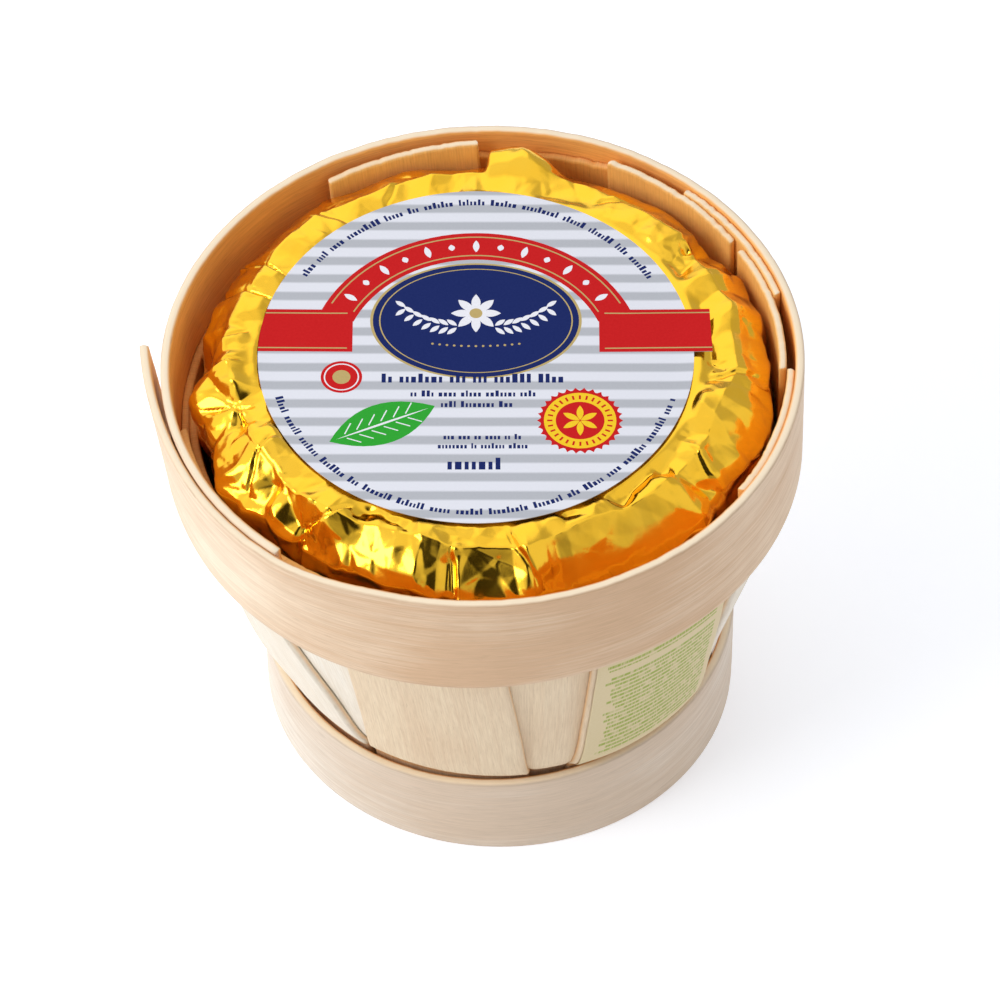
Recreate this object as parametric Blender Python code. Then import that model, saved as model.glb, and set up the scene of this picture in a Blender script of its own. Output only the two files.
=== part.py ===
"""Foil-wrapped butter block in its small veneer basket.

The basket is woven the usual way: four thin strips cross under the butter and
stand up as eight outer slats, eight loose slats close the gaps behind them,
and a low and a high band of veneer hold the wall. The butter is a round,
slightly flared block in creased foil, with a round paper label on top and a
paper sticker on one outer slat.

Units are metres, +Z is up, and the origin is the middle of the base.
The front of the basket faces -Y. Angles run counter-clockwise from +X.
"""

import math

import bmesh
import bpy

# Driving dimensions of the basket
BASKET_HEIGHT = 0.0712
GAP = 0.0003

UPPER_BAND_BOTTOM = 0.0526
UPPER_BAND_RADIUS_TOP = 0.0463
UPPER_BAND_RADIUS_BOTTOM = 0.0456
UPPER_BAND_THICKNESS = 0.0012
UPPER_BAND_START = 177.0
UPPER_BAND_LAP = 54.0
UPPER_BAND_LIFT_TOP = 0.0018
UPPER_BAND_LIFT_BOTTOM = 0.0010

LOWER_BAND_TOP = 0.0153
LOWER_BAND_TILT = 0.0015
LOWER_BAND_RADIUS = 0.0356
LOWER_BAND_THICKNESS = 0.0013
LOWER_BAND_START = 75.0
LOWER_BAND_LAP = 35.0
LOWER_BAND_LIFT = 0.0002

BAND_LIFT_SPAN = 28.0
BAND_EASE_TOP = 25.0
BAND_EASE_BOTTOM = 70.0
BAND_STEP = 5.0

# Slats and the strips that cross under the butter
SLAT_THICKNESS = 0.0009
SLAT_COLUMNS = 5
INNER_SLAT_WIDTH = 0.0235
INNER_SLAT_FOOT_WIDTH = 0.0170
INNER_SLAT_FOOT_HEIGHT = 0.0080
STRIP_BASE_WIDTH = 0.0214
STRIP_WIDENING = (0.0070, 0.0175)
CORNER_RADIUS = 0.0026
CORNER_STEPS = 3
LAYER_PITCH = SLAT_THICKNESS + GAP

# Heights where the wall starts and stops flaring, and how softly it bends
FLARE_START = 0.0110
FLARE_END = 0.0515
FLARE_BEND = 0.0018
WALL_HEIGHTS = (
    0.0140, 0.0160, 0.0180, 0.0210, 0.0260, 0.0330, 0.0410, 0.0480, 0.0515, 0.0560
)

# Each crossing strip has its angle, its width, the upright at that angle and the
# opposite one. An upright has how far its clockwise and its other corner end below
# the rim, how many degrees it turns aside on its way up, and how far its clockwise edge
# and the rest of it bow out
CROSS_STRIPS = (
    (
        77.0, 0.0240,
        (0.0028, 0.0042, 0.0, 0.0008, 0.0008),
        (0.0040, 0.0045, 0.0, 0.0008, 0.0008),
    ),
    (
        128.0, 0.0234,
        (0.0096, 0.0110, 0.0, 0.0008, 0.0008),
        (0.0032, 0.0037, -2.5, 0.0006, 0.0006),
    ),
    (
        171.5, 0.0240,
        (0.0115, 0.0115, 0.0, 0.0008, 0.0008),
        (0.0006, 0.0004, -9.0, -0.0003, -0.0003),
    ),
    (
        34.0, 0.0240,
        (0.0004, 0.0006, -2.0, 0.0008, 0.0008),
        (0.0066, 0.0046, -8.0, 0.0024, 0.0009),
    ),
)
# Each loose inner slat has its angle, the same two distances below the rim, and how
# far its clockwise edge and the rest of it bow out
INNER_SLATS = (
    (14.0, 0.0005, 0.0009, -0.0003, -0.0003),
    (48.6, 0.0010, 0.0005, 0.0008, 0.0008),
    (107.0, 0.0004, 0.0012, 0.0008, 0.0008),
    (151.0, 0.0110, 0.0112, 0.0008, 0.0008),
    (192.5, 0.0110, 0.0100, 0.0008, 0.0008),
    (237.0, 0.0066, 0.0044, 0.0009, 0.0008),
    (283.0, 0.0036, 0.0044, 0.0008, 0.0008),
    (328.0, 0.0066, 0.0086, 0.0003, -0.0003),
)

# The basket stands a little out of true: it bends to the left and is oval
LEAN_AT_RIM = 0.00245
OVAL = 0.0006
OVAL_ANGLE = 25.5

# Butter block: foil outside, flat top with a rounded edge
BLOCK_TOP = 0.0717
BLOCK_TOP_FLAT_RADIUS = 0.0350
BLOCK_TOP_RADIUS = 0.0411
BLOCK_EDGE_DROP = 0.0070
BLOCK_BOTTOM_ROUND = 0.0030
BLOCK_WALL_CLEARANCE = 0.0005
BLOCK_STEPS = 108
BLOCK_EDGE_STEPS = 7
BLOCK_WALL_HEIGHTS = (0.0600, 0.0550, 0.0500, 0.0420, 0.0300, 0.0180, 0.0130)
PLEATS_START_RADIUS = 0.0325
PLEATS_END_HEIGHT = 0.0540

# Flat facets pressed into the foil's rounded edge: angle, tilt above the
# horizontal, and how deep each cuts
FACETS = (
    (5.0, 48.0, 0.0008),
    (27.0, 42.0, 0.0011),
    (50.0, 48.0, 0.0007),
    (69.0, 40.0, 0.0006),
    (95.0, 45.0, 0.0010),
    (118.0, 50.0, 0.0008),
    (140.0, 42.0, 0.0012),
    (157.0, 48.0, 0.0010),
    (176.0, 40.0, 0.0014),
    (194.0, 52.0, 0.0012),
    (212.0, 45.0, 0.0015),
    (232.0, 42.0, 0.0013),
    (250.0, 52.0, 0.0013),
    (267.0, 44.0, 0.0013),
    (299.0, 40.0, 0.0020),
    (322.0, 50.0, 0.0010),
    (342.0, 45.0, 0.0013),
)

# Pleats of the foil: angle, half width along the edge, height (minus is a
# valley), and how sharply one side falls (0 even, 1 a step on the clockwise side)
PLEATS = (
    (8.0, 0.0030, -0.0006, 0.0),
    (21.0, 0.0045, -0.0007, 0.3),
    (35.0, 0.0022, -0.0014, 0.0),
    (48.0, 0.0050, 0.0005, 0.5),
    (60.0, 0.0035, -0.0007, 0.2),
    (80.0, 0.0070, 0.0011, 0.8),
    (97.0, 0.0040, -0.0006, 0.3),
    (112.0, 0.0045, 0.0007, 0.7),
    (128.0, 0.0035, -0.0008, 0.0),
    (140.0, 0.0040, 0.0005, 0.4),
    (152.0, 0.0020, -0.0012, 0.5),
    (160.0, 0.0022, -0.0012, 0.5),
    (170.0, 0.0030, 0.0009, 0.0),
    (179.0, 0.0028, -0.0013, 0.3),
    (189.0, 0.0030, 0.0010, 0.2),
    (198.0, 0.0026, -0.0012, 0.0),
    (208.0, 0.0032, 0.0009, 0.4),
    (218.0, 0.0028, -0.0010, 0.2),
    (229.0, 0.0026, -0.0016, 0.8),
    (241.0, 0.0045, 0.0008, 0.6),
    (252.0, 0.0026, -0.0013, 0.3),
    (260.0, 0.0032, 0.0008, 0.2),
    (268.0, 0.0024, -0.0013, 0.2),
    (279.0, 0.0040, 0.0016, 0.4),
    (288.0, 0.0030, -0.0012, 0.2),
    (320.0, 0.0034, 0.0010, 0.4),
    (332.0, 0.0028, -0.0011, 0.2),
    (347.0, 0.0045, 0.0009, 0.8),
    (357.0, 0.0028, -0.0008, 0.0),
)

# Round label with a tab on its right side, and the sticker on one slat
LABEL_RADIUS = 0.0316
LABEL_THICKNESS = 0.0003
LABEL_SHIFT_X = -0.0010
LABEL_STEPS = 96
TAB_REACH = 0.0343
TAB_LOW = 0.0004
TAB_HIGH = 0.0085

STICKER_STRIP = 1
STICKER_MARGIN = 0.0003
STICKER_THICKNESS = 0.0002
STICKER_HEIGHTS = (0.0172, 0.0190, 0.0215, 0.0260, 0.0330, 0.0410, 0.0480, 0.0522)


def softplus(value):
    """Return a smooth version of max(value, 0)."""
    return math.log1p(math.exp(value))


def smooth(value):
    """Ease from 0 to 1 with level ends."""
    value = min(max(value, 0.0), 1.0)
    return value * value * (3.0 - 2.0 * value)


def wall_radius(height, bow=0.0):
    """Radius of the outer face of the outer slats at a height."""
    touch = LOWER_BAND_TOP + LOWER_BAND_TILT
    low = LOWER_BAND_RADIUS - LOWER_BAND_THICKNESS - GAP
    high = UPPER_BAND_RADIUS_BOTTOM - UPPER_BAND_THICKNESS - GAP
    slope = (high - low) / (FLARE_END - touch)
    foot = low - slope * (touch - FLARE_START)
    rise = softplus((height - FLARE_START) / FLARE_BEND)
    rise -= softplus((height - FLARE_END) / FLARE_BEND)
    band_share = (height - UPPER_BAND_BOTTOM) / (BASKET_HEIGHT - UPPER_BAND_BOTTOM)
    taper = UPPER_BAND_RADIUS_TOP - UPPER_BAND_RADIUS_BOTTOM
    share = min(max((height - touch) / (UPPER_BAND_BOTTOM - touch), 0.0), 1.0)
    bulge = bow * math.sin(math.pi * math.sqrt(share))
    return foot + slope * rise * FLARE_BEND + taper * max(band_share, 0.0) + bulge


def settle(point):
    """Bend a true point to the left and press it oval, more so near the rim."""
    x, y, z = point
    rise = z / BASKET_HEIGHT
    angle = math.atan2(y, x) - math.radians(OVAL_ANGLE)
    swell = 1.0 + OVAL / UPPER_BAND_RADIUS_TOP * rise * math.cos(2.0 * angle)
    return (x * swell - LEAN_AT_RIM * rise * rise, y * swell, z)


def turned(x, y, z, angle):
    """Turn a point about the vertical axis by an angle in degrees."""
    cosine = math.cos(math.radians(angle))
    sine = math.sin(math.radians(angle))
    return (x * cosine - y * sine, x * sine + y * cosine, z)


def make_material(name, colour, roughness, metallic=0.0):
    """Make a plain Principled material."""
    material = bpy.data.materials.new(name)
    material.use_nodes = True
    shader = material.node_tree.nodes["Principled BSDF"]
    shader.inputs["Base Color"].default_value = (*colour, 1.0)
    shader.inputs["Roughness"].default_value = roughness
    shader.inputs["Metallic"].default_value = metallic
    return material


def add_solid(name, points, faces, material, sharp_angle=35.0):
    """Make one closed object from points and faces, with its faces outward."""
    mesh = bpy.data.meshes.new(name)
    mesh.from_pydata(points, [], faces)
    edit = bmesh.new()
    edit.from_mesh(mesh)
    bmesh.ops.recalc_face_normals(edit, faces=edit.faces)
    edit.to_mesh(mesh)
    edit.free()
    mesh.shade_smooth()
    mesh.set_sharp_from_angle(angle=math.radians(sharp_angle))
    mesh.materials.append(material)
    part = bpy.data.objects.new(name, mesh)
    bpy.context.scene.collection.objects.link(part)
    return part


def split_quad(a, b, c, d):
    """Split a four-sided face the same way wherever it is used."""
    return [(a, b, c), (a, c, d)]


def sheet_solid(name, front, back, material):
    """Close two matching grids of points into one thin solid."""
    rows = len(front)
    columns = len(front[0])
    points = [settle(point) for grid in (front, back) for row in grid for point in row]
    offset = rows * columns
    faces = []
    for row in range(rows - 1):
        for column in range(columns - 1):
            corner = row * columns + column
            quad = (corner, corner + columns, corner + columns + 1, corner + 1)
            faces += split_quad(*quad)
            faces += split_quad(*(index + offset for index in quad))
    border = [column for column in range(columns)]
    border += [row * columns + columns - 1 for row in range(1, rows)]
    border += [(rows - 1) * columns + column for column in reversed(range(columns - 1))]
    border += [row * columns for row in reversed(range(1, rows - 1))]
    for here, following in zip(border, border[1:] + border[:1]):
        faces += split_quad(here, following, following + offset, here + offset)
    return add_solid(name, points, faces, material)


def lap_offset(turn, thickness, lap, lift, ease):
    """How far a band stands out at an angle past its free outer end."""
    raised = thickness + GAP
    if turn < lap:
        loose = max(1.0 - turn / BAND_LIFT_SPAN, 0.0)
        return raised + lift * loose * loose
    return raised * (1.0 - smooth((turn - lap) / ease))


def make_band(name, edges, thickness, start, lap, material):
    """Bend one strip of veneer round the basket so that it laps over itself.

    Each edge has its height, its radius, how far its free end lifts, over how many
    degrees it settles past the lap, and how far it tilts up towards +X.
    """
    steps = round((360.0 + lap) / BAND_STEP)
    front = []
    back = []
    for step in range(steps + 1):
        turn = (360.0 + lap) * step / steps
        angle = start + turn
        outer = []
        inner = []
        for height, radius, lift, ease, tilt in edges:
            reach = radius + lap_offset(turn, thickness, lap, lift, ease)
            level = height + tilt * math.cos(math.radians(angle))
            outer.append(turned(reach, 0.0, level, angle))
            inner.append(turned(reach - thickness, 0.0, level, angle))
        front.append(outer)
        back.append(inner)
    return sheet_solid(name, front, back, material)


def across(width):
    """Sideways offsets of a slat's columns."""
    return [width * (column / SLAT_COLUMNS - 0.5) for column in range(SLAT_COLUMNS + 1)]


def slat_row(radii, heights, offsets, side, angle):
    """Points across a slat, with a radius and a height for each sideways offset."""
    row = []
    for radius, offset, height in zip(radii, offsets, heights):
        reach = math.sqrt(radius * radius - offset * offset)
        row.append(turned(side * reach, offset, height, angle))
    return row


def top_heights(offsets, drops, side):
    """Height of a slat's cut end at each sideways offset."""
    clockwise, other = drops
    heights = []
    for offset in offsets:
        share = 0.5 + side * offset / (offsets[-1] - offsets[0])
        heights.append(BASKET_HEIGHT - clockwise - (other - clockwise) * share)
    return heights


def wall_rows(inset, width_at, upright, side, angle, heights):
    """Rows of a slat's face that stands in the wall, from low to high."""
    *drops, skew, edge_bow, bow = upright
    foot = LOWER_BAND_TOP + LOWER_BAND_TILT
    rows = []
    for height in (*heights, BASKET_HEIGHT):
        offsets = across(width_at(height))
        level = [height] * len(offsets)
        if height == BASKET_HEIGHT:
            level = top_heights(offsets, drops, side)
        turn = skew * smooth((height - foot) / (UPPER_BAND_BOTTOM - foot))
        middle = sum(level) / len(level)
        radii = []
        for offset in offsets:
            share = 0.5 + side * offset / (offsets[-1] - offsets[0])
            column_bow = bow + (edge_bow - bow) * smooth(1.0 - 2.0 * share)
            radii.append(wall_radius(middle, column_bow) - inset)
        rows.append(slat_row(radii, level, offsets, side, angle + turn))
    return rows


def strip_width(height, width):
    """Width of a crossing strip, which is narrower where it bends up."""
    low, high = STRIP_WIDENING
    return STRIP_BASE_WIDTH + (width - STRIP_BASE_WIDTH) * smooth((height - low) / (high - low))


def strip_side(level, inset, width, upright, side, angle):
    """Rows of one face of a crossing strip, from its first bend to its top."""
    bend_radius = CORNER_RADIUS - inset
    bend_start = wall_radius(0.0) - CORNER_RADIUS
    offsets = across(STRIP_BASE_WIDTH)
    rows = []
    for step in range(CORNER_STEPS + 1):
        turn = math.radians(90.0 * step / CORNER_STEPS)
        radius = bend_start + bend_radius * math.sin(turn)
        height = level + CORNER_RADIUS - bend_radius * math.cos(turn)
        level_row = [height] * len(offsets)
        rows.append(slat_row([radius] * len(offsets), level_row, offsets, side, angle))

    def width_at(height):
        return strip_width(height, width)

    rows += wall_rows(inset, width_at, upright, side, angle, WALL_HEIGHTS)
    return rows


def make_cross_strip(name, level, angle, width, near, far, material):
    """One strip that runs under the butter and stands up at both ends."""
    faces = []
    for inset in (0.0, SLAT_THICKNESS):
        left = strip_side(level, inset, width, far, -1.0, angle)
        right = strip_side(level, inset, width, near, 1.0, angle)
        faces.append(list(reversed(left)) + right)
    return sheet_solid(name, faces[0], faces[1], material)


def inner_slat_width(height):
    """Width of a loose slat, which is narrower towards its foot."""
    share = (height - INNER_SLAT_FOOT_HEIGHT) / (FLARE_END - INNER_SLAT_FOOT_HEIGHT)
    share = min(max(share, 0.0), 1.0)
    return INNER_SLAT_FOOT_WIDTH + (INNER_SLAT_WIDTH - INNER_SLAT_FOOT_WIDTH) * share


def make_inner_slat(name, angle, drops, bows, material):
    """One loose slat behind a gap between two outer ones."""
    heights = (INNER_SLAT_FOOT_HEIGHT, *WALL_HEIGHTS)
    upright = (*drops, 0.0, *bows)
    faces = []
    for inset in (LAYER_PITCH, LAYER_PITCH + SLAT_THICKNESS):
        faces.append(wall_rows(inset, inner_slat_width, upright, 1.0, angle, heights))
    return sheet_solid(name, faces[0], faces[1], material)


def block_profile():
    """Half outline of the butter block from its top's middle to its base's."""
    floor = len(CROSS_STRIPS) * LAYER_PITCH
    outline = [(BLOCK_TOP_FLAT_RADIUS * share, BLOCK_TOP) for share in (0.45, 0.86, 0.93)]
    edge_reach = BLOCK_TOP_RADIUS - BLOCK_TOP_FLAT_RADIUS
    for step in range(BLOCK_EDGE_STEPS + 1):
        turn = math.radians(90.0 * step / BLOCK_EDGE_STEPS)
        radius = BLOCK_TOP_FLAT_RADIUS + edge_reach * math.sin(turn)
        outline.append((radius, BLOCK_TOP - BLOCK_EDGE_DROP * (1.0 - math.cos(turn))))
    inset = 2.0 * LAYER_PITCH + BLOCK_WALL_CLEARANCE
    for height in BLOCK_WALL_HEIGHTS:
        outline.append((min(wall_radius(height) - inset, BLOCK_TOP_RADIUS), height))
    low_radius = wall_radius(0.0) - inset
    outline.append((low_radius, floor + BLOCK_BOTTOM_ROUND))
    outline.append((low_radius - BLOCK_BOTTOM_ROUND, floor))
    return outline


def pleat_height(angle):
    """Sum of the pleats' relief at an angle round the block."""
    total = 0.0
    for centre, width, height, step in PLEATS:
        turn = (angle - centre + 180.0) % 360.0 - 180.0
        distance = math.radians(turn) * BLOCK_TOP_RADIUS
        reach = width * (1.0 - 0.7 * step) if distance < 0.0 else width
        total += height * max(1.0 - abs(distance) / reach, 0.0)
    return total


def pleat_share(radius, height):
    """How strongly the pleats show at a place on the outline."""
    if height > BLOCK_TOP - BLOCK_EDGE_DROP:
        run = BLOCK_TOP_RADIUS - PLEATS_START_RADIUS
        return smooth(1.6 * (radius - PLEATS_START_RADIUS) / run)
    run = BLOCK_TOP - BLOCK_EDGE_DROP - PLEATS_END_HEIGHT
    return smooth((height - PLEATS_END_HEIGHT) / run)


def pressed(point, angle):
    """Push a point of the block's outline in where a flat facet cuts it."""
    radius, height = point
    reach = BLOCK_TOP_RADIUS - BLOCK_TOP_FLAT_RADIUS
    for centre, tilt, depth in FACETS:
        turn = math.radians(angle - centre)
        if math.cos(turn) < 0.5:
            continue
        out = math.cos(math.radians(tilt))
        up = math.sin(math.radians(tilt))
        edge = math.hypot(reach * out, BLOCK_EDGE_DROP * up)
        plane = BLOCK_TOP_FLAT_RADIUS * out + (BLOCK_TOP - BLOCK_EDGE_DROP) * up + edge - depth
        excess = radius * math.cos(turn) * out + height * up - plane
        if excess > 0.0:
            radius -= excess * out * math.cos(turn)
            height -= excess * up
    return radius, height


def outline_normals(outline):
    """Outward direction at each point of the block's outline."""
    normals = []
    for index, (radius, height) in enumerate(outline):
        before = outline[index - 1] if index else (0.0, height)
        after = outline[index + 1] if index + 1 < len(outline) else (0.0, height)
        run = (after[0] - before[0], after[1] - before[1])
        length = math.hypot(*run)
        normals.append((-run[1] / length, run[0] / length))
    return normals


def make_foil_block(material):
    """Butter block with pleated foil round its top edge, as one solid."""
    outline = block_profile()
    normals = outline_normals(outline)
    points = []
    for (radius, height), (out, up) in zip(outline, normals):
        share = pleat_share(radius, height)
        for step in range(BLOCK_STEPS):
            angle = 360.0 * step / BLOCK_STEPS
            relief = pleat_height(angle) * share
            place = pressed((radius + out * relief, height + up * relief), angle)
            points.append(settle(turned(place[0], 0.0, place[1], angle)))
    faces = []
    for ring in range(len(outline) - 1):
        for step in range(BLOCK_STEPS):
            here = ring * BLOCK_STEPS + step
            following = ring * BLOCK_STEPS + (step + 1) % BLOCK_STEPS
            quad = (here, here + BLOCK_STEPS, following + BLOCK_STEPS, following)
            faces += split_quad(*quad)
    top = len(points)
    points.append(settle((0.0, 0.0, outline[0][1])))
    points.append(settle((0.0, 0.0, outline[-1][1])))
    last_ring = (len(outline) - 1) * BLOCK_STEPS
    for step in range(BLOCK_STEPS):
        following = (step + 1) % BLOCK_STEPS
        faces.append((step, following, top))
        faces.append((last_ring + step, last_ring + following, top + 1))
    return add_solid("foil_block", points, faces, material)


def make_label(material):
    """Round paper label with a square tab on its right side."""
    low = BLOCK_TOP + GAP
    tab_top = math.degrees(math.asin(TAB_HIGH / LABEL_RADIUS))
    tab_bottom = 360.0 + math.degrees(math.asin(TAB_LOW / LABEL_RADIUS))
    outline = []
    for step in range(LABEL_STEPS + 1):
        angle = tab_top + (tab_bottom - tab_top) * step / LABEL_STEPS
        outline.append(turned(LABEL_RADIUS, 0.0, 0.0, angle)[:2])
    outline += [(TAB_REACH, TAB_LOW), (TAB_REACH - 0.0003, TAB_HIGH)]
    shift = LABEL_SHIFT_X - LEAN_AT_RIM
    count = len(outline)
    points = []
    for height in (low, low + LABEL_THICKNESS):
        points += [(x + shift, y, height) for x, y in outline]
    faces = [tuple(range(count)), tuple(range(count, 2 * count))]
    for index in range(count):
        following = (index + 1) % count
        faces.append((index, following, following + count, index + count))
    return add_solid("label", points, faces, material)


def make_sticker(material):
    """Paper sticker on the outside of one outer slat, at the front right."""
    angle, width, _, upright = CROSS_STRIPS[STICKER_STRIP]

    def width_at(height):
        return strip_width(height, width) - 2.0 * STICKER_MARGIN

    faces = []
    for proud in (GAP + STICKER_THICKNESS, GAP):
        rows = wall_rows(-proud, width_at, upright, -1.0, angle, STICKER_HEIGHTS)
        faces.append(rows[:-1])
    return sheet_solid("side_sticker", faces[0], faces[1], material)


def make_basket(wood, slat_wood):
    """All the veneer pieces of the basket."""
    upper_edges = (
        (
            UPPER_BAND_BOTTOM, UPPER_BAND_RADIUS_BOTTOM,
            UPPER_BAND_LIFT_BOTTOM, BAND_EASE_BOTTOM, 0.0,
        ),
        (
            BASKET_HEIGHT, UPPER_BAND_RADIUS_TOP,
            UPPER_BAND_LIFT_TOP, BAND_EASE_TOP, 0.0,
        ),
    )
    lower_edges = (
        (0.0, LOWER_BAND_RADIUS, LOWER_BAND_LIFT, BAND_EASE_TOP, 0.0),
        (
            LOWER_BAND_TOP, LOWER_BAND_RADIUS,
            LOWER_BAND_LIFT, BAND_EASE_TOP, LOWER_BAND_TILT,
        ),
    )
    make_band(
        "upper_band", upper_edges, UPPER_BAND_THICKNESS,
        UPPER_BAND_START, UPPER_BAND_LAP, wood,
    )
    make_band(
        "lower_band", lower_edges, LOWER_BAND_THICKNESS,
        LOWER_BAND_START, LOWER_BAND_LAP, wood,
    )
    for index, (angle, width, near, far) in enumerate(CROSS_STRIPS):
        name = f"cross_strip_{index + 1}"
        level = index * LAYER_PITCH
        make_cross_strip(name, level, angle, width, near, far, slat_wood)
    for index, (angle, clockwise, other, *bows) in enumerate(INNER_SLATS):
        drops = (clockwise, other)
        make_inner_slat(f"inner_slat_{index + 1}", angle, drops, bows, slat_wood)


def main():
    """Clear the scene and build the wrapped butter block."""
    for leftover in list(bpy.data.objects):
        bpy.data.objects.remove(leftover)
    wood = make_material("band_wood", (0.74, 0.56, 0.40), 0.6)
    slat_wood = make_material("slat_wood", (0.72, 0.54, 0.34), 0.65)
    foil = make_material("gold_foil", (0.90, 0.56, 0.06), 0.22, 1.0)
    label_paper = make_material("label_paper", (0.80, 0.80, 0.86), 0.4)
    sticker_paper = make_material("sticker_paper", (0.66, 0.64, 0.44), 0.6)
    make_basket(wood, slat_wood)
    make_foil_block(foil)
    make_label(label_paper)
    make_sticker(sticker_paper)


main()
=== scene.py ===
"""Looks of the wrapped butter block: veneer basket, creased gold foil, label and sticker.

Each visible piece stands for one solid of the frame. It keeps that solid's form, with a
finer mesh, the relief of the real surface and a material of its own. Units are metres,
+Z is up and the front faces -Y. Angles are degrees, counter-clockwise from +X.
"""

import math

import bpy
import numpy as np
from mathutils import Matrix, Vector
from mathutils.geometry import delaunay_2d_cdt


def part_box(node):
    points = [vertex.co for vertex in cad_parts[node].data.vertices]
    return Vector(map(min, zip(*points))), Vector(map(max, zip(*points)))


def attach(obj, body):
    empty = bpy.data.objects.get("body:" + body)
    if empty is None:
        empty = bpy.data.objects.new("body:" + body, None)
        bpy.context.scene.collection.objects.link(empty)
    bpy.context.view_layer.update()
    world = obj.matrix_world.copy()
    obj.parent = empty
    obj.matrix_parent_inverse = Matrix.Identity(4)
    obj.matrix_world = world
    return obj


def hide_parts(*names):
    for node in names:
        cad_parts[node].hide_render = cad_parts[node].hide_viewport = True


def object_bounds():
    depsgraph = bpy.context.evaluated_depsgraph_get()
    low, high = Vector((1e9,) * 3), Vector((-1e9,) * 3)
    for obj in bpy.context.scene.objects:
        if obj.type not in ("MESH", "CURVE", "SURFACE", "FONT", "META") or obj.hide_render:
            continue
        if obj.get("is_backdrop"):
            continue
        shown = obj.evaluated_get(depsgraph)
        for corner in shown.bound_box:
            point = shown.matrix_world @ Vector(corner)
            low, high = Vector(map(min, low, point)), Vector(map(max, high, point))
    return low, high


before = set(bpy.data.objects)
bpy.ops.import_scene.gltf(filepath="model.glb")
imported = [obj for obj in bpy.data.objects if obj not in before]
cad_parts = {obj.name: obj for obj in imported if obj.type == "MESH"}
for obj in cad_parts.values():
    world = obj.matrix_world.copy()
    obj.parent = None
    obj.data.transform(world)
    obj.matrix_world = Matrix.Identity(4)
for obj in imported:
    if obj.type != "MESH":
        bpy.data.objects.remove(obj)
cad_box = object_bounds()

MM = 0.001
BODY = "root"

# Heights that the frame gives
RIM_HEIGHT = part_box("upper_band")[1].z
UPPER_BAND_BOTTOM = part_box("upper_band")[0].z
LOWER_BAND_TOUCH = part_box("lower_band")[1].z
LABEL_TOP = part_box("label")[1].z
BLOCK_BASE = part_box("foil_block")[0].z

# Bands: radii, thickness, where the free outer end starts, how far the strip laps
UPPER_BAND_RADIUS_TOP = 0.0463
UPPER_BAND_RADIUS_BOTTOM = 0.0456
UPPER_BAND_THICKNESS = 0.0012
UPPER_BAND_START = 177.0
UPPER_BAND_LAP = 54.0
UPPER_BAND_LIFT_TOP = 0.0018
UPPER_BAND_LIFT_BOTTOM = 0.0010
LOWER_BAND_TILT = 0.0015
LOWER_BAND_TOP = LOWER_BAND_TOUCH - LOWER_BAND_TILT
LOWER_BAND_RADIUS = 0.0356
LOWER_BAND_THICKNESS = 0.0013
LOWER_BAND_START = 75.0
LOWER_BAND_LAP = 35.0
LOWER_BAND_LIFT = 0.0002
BAND_LIFT_SPAN = 28.0
BAND_EASE_TOP = 25.0
BAND_EASE_BOTTOM = 70.0

# Slats and crossing strips
GAP = 0.0003
SLAT_THICKNESS = 0.0009
LAYER_PITCH = SLAT_THICKNESS + GAP
INNER_SLAT_WIDTH = 0.0235
INNER_SLAT_FOOT_WIDTH = 0.0170
INNER_SLAT_FOOT_HEIGHT = 0.0080
STRIP_BASE_WIDTH = 0.0214
STRIP_WIDENING = (0.0070, 0.0175)
CORNER_RADIUS = 0.0026
FLARE_START = 0.0110
FLARE_END = 0.0515
FLARE_BEND = 0.0018
WALL_START = 0.0140

# Crossing strips: angle, width, then for the upright at that angle and the opposite one
# how far its clockwise and its other corner end below the rim, skew in degrees, and how
# far its clockwise edge and the rest of it bow out
CROSS_STRIPS = (
    (77.0, 0.0240, (0.0028, 0.0042, 0.0, 0.0008, 0.0008), (0.0040, 0.0045, 0.0, 0.0008, 0.0008)),
    (128.0, 0.0234, (0.0096, 0.0110, 0.0, 0.0008, 0.0008), (0.0032, 0.0037, -2.5, 0.0006, 0.0006)),
    (171.5, 0.0240, (0.0115, 0.0115, 0.0, 0.0008, 0.0008), (0.0006, 0.0004, -9.0, -0.0003, -0.0003)),
    (34.0, 0.0240, (0.0004, 0.0006, -2.0, 0.0008, 0.0008), (0.0066, 0.0046, -8.0, 0.0024, 0.0009)),
)

# Loose inner slats: angle, how far their clockwise and their other corner end below the
# rim, and how far their clockwise edge and the rest of them bow out
INNER_SLATS = (
    (14.0, 0.0005, 0.0009, -0.0003, -0.0003),
    (48.6, 0.0010, 0.0005, 0.0008, 0.0008),
    (107.0, 0.0004, 0.0012, 0.0008, 0.0008),
    (151.0, 0.0110, 0.0112, 0.0008, 0.0008),
    (192.5, 0.0110, 0.0100, 0.0008, 0.0008),
    (237.0, 0.0066, 0.0044, 0.0009, 0.0008),
    (283.0, 0.0036, 0.0044, 0.0008, 0.0008),
    (328.0, 0.0066, 0.0086, 0.0003, -0.0003),
)

# Strips and loose slats of darker, yellower wood
WARM_STRIPS = (0, 1)
WARM_SLATS = (6,)

# The loose slat that swells out between its neighbours, and how far
PUSHED_SLAT = 6
SLAT_PUSH = 0.6 * MM

# At the front the slats lean out over the low band: how far, how high above the band
# that starts, over how much it grows, and where it has ended
LEAN_OUT = 0.65 * MM
LEAN_OUT_START = 0.15 * MM
LEAN_OUT_RISE = 1.6 * MM
LEAN_OUT_END = 16.0 * MM

# Painted shade turns the slats orange-brown from this far above the high band's lower edge, over
# this height. Their cut ends are painted pale, as lit tops, at the rim and take the painted shade
# this far below it
INSIDE_SHADE_START = 2.0 * MM
INSIDE_SHADE_RISE = 3.0 * MM
LIT_END_DEPTH = 4.0 * MM

# The basket bends to the left and is a little oval
LEAN_AT_RIM = 0.00245
OVAL = 0.0006
OVAL_ANGLE = 25.5

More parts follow.
